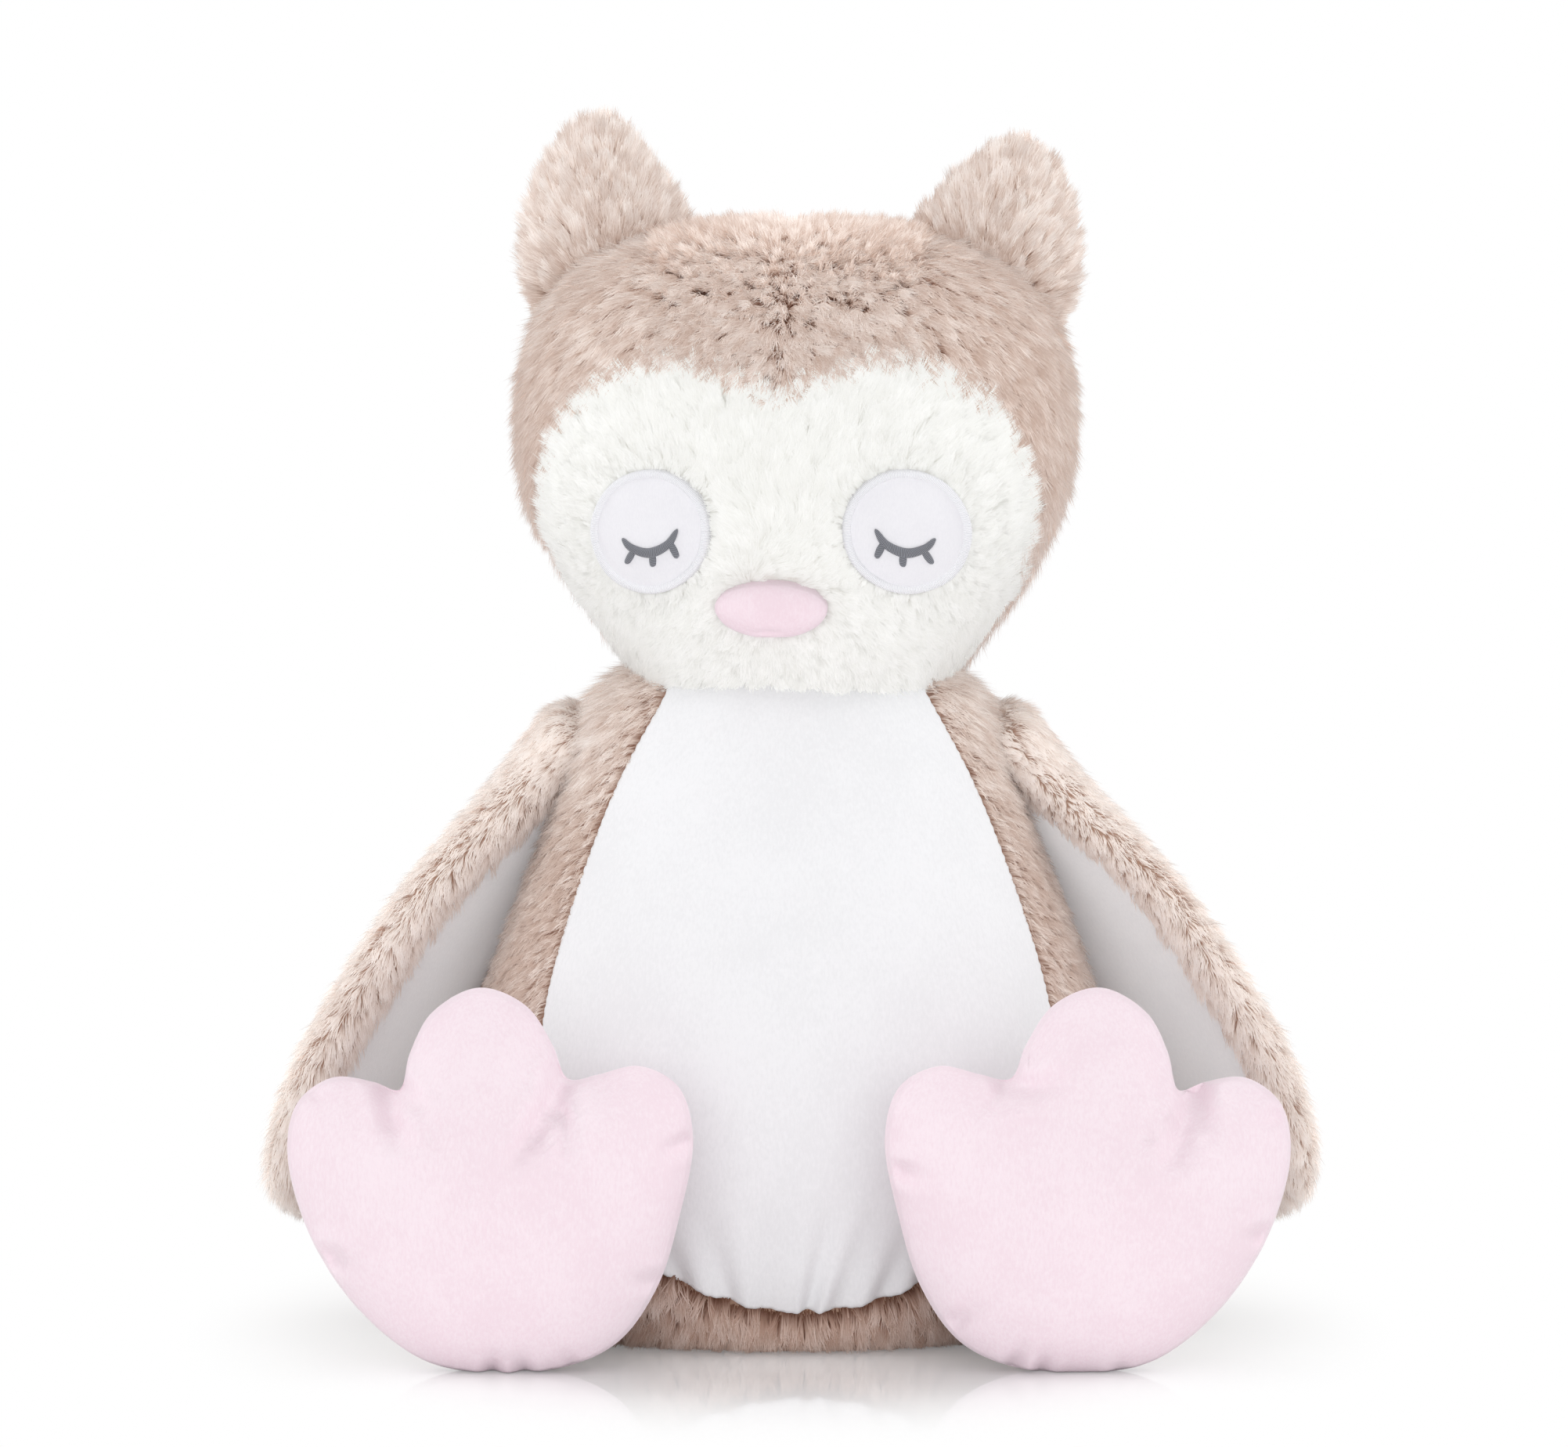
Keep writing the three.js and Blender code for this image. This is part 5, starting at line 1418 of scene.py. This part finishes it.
# %% Ears
head_tree = tree_of(head_form.world(head_skin.points))
for name, sign in SIDES:
    base = ear_grid(name, sign, True)[0, 0] - ear_way(name, sign, np.array([[0, 0, 18.0]]))[0]
    up = ear_way(name, sign, np.array([[0.0, 0, 1]]))[0]
    for label, out in PANELS.items():
        front = label == "front"
        grid = ear_grid(name, sign, front)
        if (sign > 0) != front:
            grid = grid[:, ::-1]
        points, faces = grid.reshape(-1, 3), quads(*grid.shape[:2])
        new_piece(f"ear_{name}_{label}_cloth", points, facing(points, faces, out), brown_backing,
                  stands_for=panel_nodes(f"ear_{name}", label))
        roots, normals = scatter(grid, 1.0, 26000)
        turn = np.where(np.sum(normals * out, axis=1) < 0, -1, 1)[:, None]
        comb = unit(roots - base) * 0.7 + up * 0.25 - np.array([0, 0, 0.15])
        gap = np.array([head_tree.find(spot)[2] for spot in roots])
        # Painted shade: close to the head the pile is tinted darker, for the shade in the crease.
        crease = np.exp(-((gap / 5.5) ** 2))
        grow_pile(f"ear_{name}_{label}_pile", roots, normals * turn, comb, 8.2 - 2.5 * crease, brown_pile,
                  50.0, 19, tuft=2.2, gather=0.5, tint=0.57 - 0.38 * crease, wild=14.0, sway=18.0, width=0.3)

# %% [markdown]
# ## Wings
# A wing hangs from its shoulder. The outer side and the rims are brown pile and the inner side is lined
# with velour. The pile is combed down the wing and, on the rim that shows, a little over the edge of the
# lining. It is short on the front rim near the shoulder, where it would hide the lining, and tinted lighter
# along the whole front as painted light. A flat card would do from the front, but the wings lift, and then
# every side of them shows.

# %% Wing shape
WING_SHARES = np.array([
    (0, 0, 0, 0.48, 1, 0), (0.15, 0.12, 0.35, 0.62, 1, 0.35), (0.37, 0.315, 0.8, 0.86, 0.98, 0.85),
    (0.56, 0.5, 1, 0.98, 0.95, 1), (0.745, 0.68, 1, 1, 0.92, 1), (0.885, 0.83, 0.9, 0.86, 0.85, 1),
    (0.965, 0.94, 0.75, 0.6, 0.7, 1), (0.99, 0.985, 0.68, 0.34, 0.42, 1), (1, 1, 0.65, 0, 0, 1)])
WING_RUN, WING_DROP, WING_BACK = 73, 125, 12
WING_LENGTH = math.hypot(WING_RUN, WING_DROP)
WING_HALF_WIDTH, WING_HALF_THICKNESS, WING_ROUNDNESS = 36, 8, 2.3
WING_TWIST = {"left": 25, "right": 20}
SHOULDER = np.array([59.0, 0, 157.0])
LINING_REACH, LINING_SPARE = (0.04, 0.9), 1.6
LINING_MARGIN, MARGIN_TOP = {"left": 5.0, "right": 7.0}, {"left": 0.4, "right": 0.5}


def wing_frames(name, shares):
    """Places along the left wing, the ways across, out of and down it, and its half width and thickness."""
    keys = WING_SHARES[:, [0, 2, 1]] * [WING_RUN, WING_BACK, -WING_DROP]
    sizes = WING_SHARES[:, 3:] * [WING_HALF_WIDTH, WING_HALF_THICKNESS, math.radians(WING_TWIST[name])]
    place, size = smooth(keys, shares), smooth(sizes, shares)
    way = unit((smooth(keys, shares + 1e-4) - smooth(keys, shares - 1e-4)) * [1, 0, 1])
    turn, y = -size[:, 2:3], np.array([0.0, 1, 0])
    across = y * np.cos(turn) + np.cross(way, y) * np.sin(turn)
    return place, across, np.cross(way, across), way, np.maximum(size[:, 0], 0), np.maximum(size[:, 1], 0)


def lining_half(name, share, chord, spare=0.0):
    """Half the width of the lining, with rounded ends and room to spare all round, in millimetres."""
    low, high = LINING_REACH[0] - spare / WING_LENGTH, LINING_REACH[1] + spare / WING_LENGTH
    along, top = held((share - low) / (high - low)), MARGIN_TOP[name]
    margin = LINING_MARGIN[name] * (top + (1 - top) * held(share / 0.4))
    return (chord - margin + spare) * np.sqrt(1 - np.abs(2 * along - 1) ** 8)


print("wing length, mm:", round(WING_LENGTH, 1))


# %% Wing skin
def wing_grid(name, sign, levels, around):
    """The skin of a wing, with a round cap at the shoulder."""
    place, across, outward, way, chord, thick = wing_frames(name, np.linspace(0, 0.9999, levels))
    angle = full_turn(around)
    u, v = bend(np.cos(angle), WING_ROUNDNESS), bend(np.sin(angle), WING_ROUNDNESS)
    span = (place[:, None] + across[:, None] * (chord[:, None] * u)[..., None]
            + outward[:, None] * (thick[:, None] * v)[..., None])
    top = place[0] + across[0] * (chord[0] * u)[:, None]
    caps = [top + outward[0] * (thick[0] * v * math.cos(tilt))[:, None]
            - way[0] * (thick[0] * np.abs(v) * math.sin(tilt))[:, None]
            for tilt in np.linspace(np.pi / 2, 0, 7)[:-1]]
    return mirrored(np.concatenate([np.array(caps), span]) + SHOULDER, sign)


def wing_coordinates(name, sign, points):
    """For points in the toy's frame: the share along the wing, and how far across and out of it they lie."""
    shares = np.linspace(0, 1, 200)
    place, across, outward, way, chord, thick = wing_frames(name, shares)
    local = mirrored(points, sign) - SHOULDER
    best = np.argmin(np.linalg.norm(local[:, None] - place[None], axis=2), axis=1)
    away = local - place[best]
    return (shares[best], np.sum(away * across[best], axis=1), np.sum(away * outward[best], axis=1),
            mirrored(across[best], sign), mirrored(way[best], sign), chord[best])


# %% Wing cloth and pile
BARE_RIM, OVER_LINING = {"left": 1.0, "right": 0.5}, {"left": 0.3, "right": 0.6}


def sew_wing(name, sign):
    """The outer cloth of a wing, cut out where the lining lies, and its pile."""
    grid = wing_grid(name, sign, 70, 96)
    flat, faces = grid.reshape(-1, 3), quads(*grid.shape[:2])
    share, side, out, across, way, chord = wing_coordinates(name, sign, middles(flat, faces))
    lined = (out < -0.6) & (np.abs(side) < lining_half(name, share, chord))
    points, kept = part_of(flat, faces if sign > 0 else faces[:, ::-1], ~lined)
    new_piece(f"wing_{name}_outer_cloth", points, kept, brown_backing, f"wing_{name}",
              [f"wing_{name}_outer", f"wing_{name}_filling"])

    weight = ~lined * np.where(out > 0, 1.0, 1.5) * np.where(share < 0.04, 1.8, 1)
    roots, normals = scatter(grid, weight, 66000)
    share, side, out, across, way, chord = wing_coordinates(name, sign, roots)
    rim = held((np.abs(side) - chord + 14) / 14)[:, None]
    inward = np.where(out < 0, 1.0, -0.3)[:, None]
    comb = way - across * np.sign(side)[:, None] * rim * inward * OVER_LINING[name] + np.array([0, 0, -0.2])
    top = held(1 - share / 0.06)[:, None]
    comb = comb * (1 - top) + top * np.array([sign * 0.8, -0.35, -0.5])
    rough = held(1.3 - np.abs(out) / 6) * (side < 0)
    bare = held(1.4 - share / 0.3) * (side < 0) * (out < 2) * BARE_RIM[name]
    lean = 62.0 - 6.0 * rough + 8 * held(1 - share / 0.04)
    # Painted light: the pile is tinted lighter towards the front rim of the wing.
    tint = 0.62 + 0.38 * held(-side / np.maximum(chord, 1) * 2 - 0.4) + 0.2 * drift(roots, 20, 8)
    grow_pile(f"wing_{name}_outer_pile", roots, normals * sign, comb, 7.2 - 3.6 * bare, brown_pile, lean, 23,
              body=f"wing_{name}", tuft=2.3, gather=(0.3 + 0.25 * rough)[:, None], wild=9 + 5 * rough,
              width=0.3, tint=tint)


# %% Wing lining
LINING_NAP = np.array([0, -2.6, 0.3])


def line_wing(name, sign):
    """The velour inside a wing. It swells a little towards its front, and its nap leans to the front."""
    spare = LINING_SPARE / WING_LENGTH
    shares = np.linspace(LINING_REACH[0] - spare, LINING_REACH[1] + spare, 90)
    place, across, outward, way, chord, thick = wing_frames(name, shares)
    u = np.linspace(-1, 1, 50)
    width = np.maximum(lining_half(name, shares, chord, LINING_SPARE), 0.5)[:, None]
    at = width * u
    depth = thick[:, None] * held(1 - np.abs(at / chord[:, None]) ** WING_ROUNDNESS) ** (1 / WING_ROUNDNESS)
    edge = (1 - np.abs(u)) * width
    swell = 1.0 * (1 - np.exp(-edge / 1.8)) - 0.6 + (2.4 + 3.2 * u) * (1 - (at / width) ** 2)
    ripple = 0.7 * drift(columns(at, shares[:, None] * 140, 0.0), 14, 33).reshape(at.shape)
    grid = (place[:, None] + across[:, None] * at[..., None]
            - outward[:, None] * (depth + swell + ripple * 0.8)[..., None])
    grid = mirrored(grid + SHOULDER, sign)
    points, inwards = grid.reshape(-1, 3), (-sign, 0, -0.4)
    flats = normals_of(grid, wrap=False).reshape(-1, 3)
    flats = flats * np.sign(np.sum(flats * inwards, axis=1, keepdims=True))
    faces = facing(points, quads(90, 50, wrap=False), inwards)
    new_piece(f"wing_{name}_lining_velour", points, faces, lining_velour, f"wing_{name}",
              [f"wing_{name}_lining"], shading=unit(flats + LINING_NAP))


for name, sign in SIDES:
    sew_wing(name, sign)
    line_wing(name, sign)

# %% [markdown]
# ## Legs
# A leg is a short tube of pile between the seat and the back of the foot, with a round end inside the seat.
# Little of it shows at rest, but it comes into view when the leg folds, so it has pile all round.

# %% Legs
HIP_RADIUS, LEG_RADIUS, LEG_AROUND = 17, 18.5, 80
LEG_SHARES = [(0.88, -0.12), (0.95, -0.45), (0.98, -0.75)]  # of its radius and length, hip to foot

profile = [(HIP_RADIUS * math.sin(a), HIP_RADIUS * math.cos(a)) for a in np.linspace(0, np.pi / 2, 12)]
profile = np.array(profile + [(LEG_RADIUS * out, LEG_LENGTH * along) for out, along in LEG_SHARES])[::-1]
radius, along, angle = profile[:, :1], profile[:, 1:], full_turn(LEG_AROUND)
leg = np.stack(np.broadcast_arrays(radius * np.cos(angle), along, radius * np.sin(angle)), axis=-1) + HIP
for name, sign in SIDES:
    grid = mirrored(leg, sign)
    points, faces = grid.reshape(-1, 3), quads(*grid.shape[:2])
    out = middles(points, faces) - points.mean(axis=0)
    new_piece(f"leg_{name}_cloth", points, facing(points, faces, out), brown_backing, f"leg_{name}",
              [f"leg_{name}_tube", f"leg_{name}_filling"])
    roots, normals = scatter(grid, 1.0, 30000)
    comb = columns(0.2 * np.sign(roots[:, 0]), -0.6, -0.8)
    grow_pile(f"leg_{name}_pile", roots, normals * -sign, comb, 7.5, brown_pile, 60.0, 29, body=f"leg_{name}")
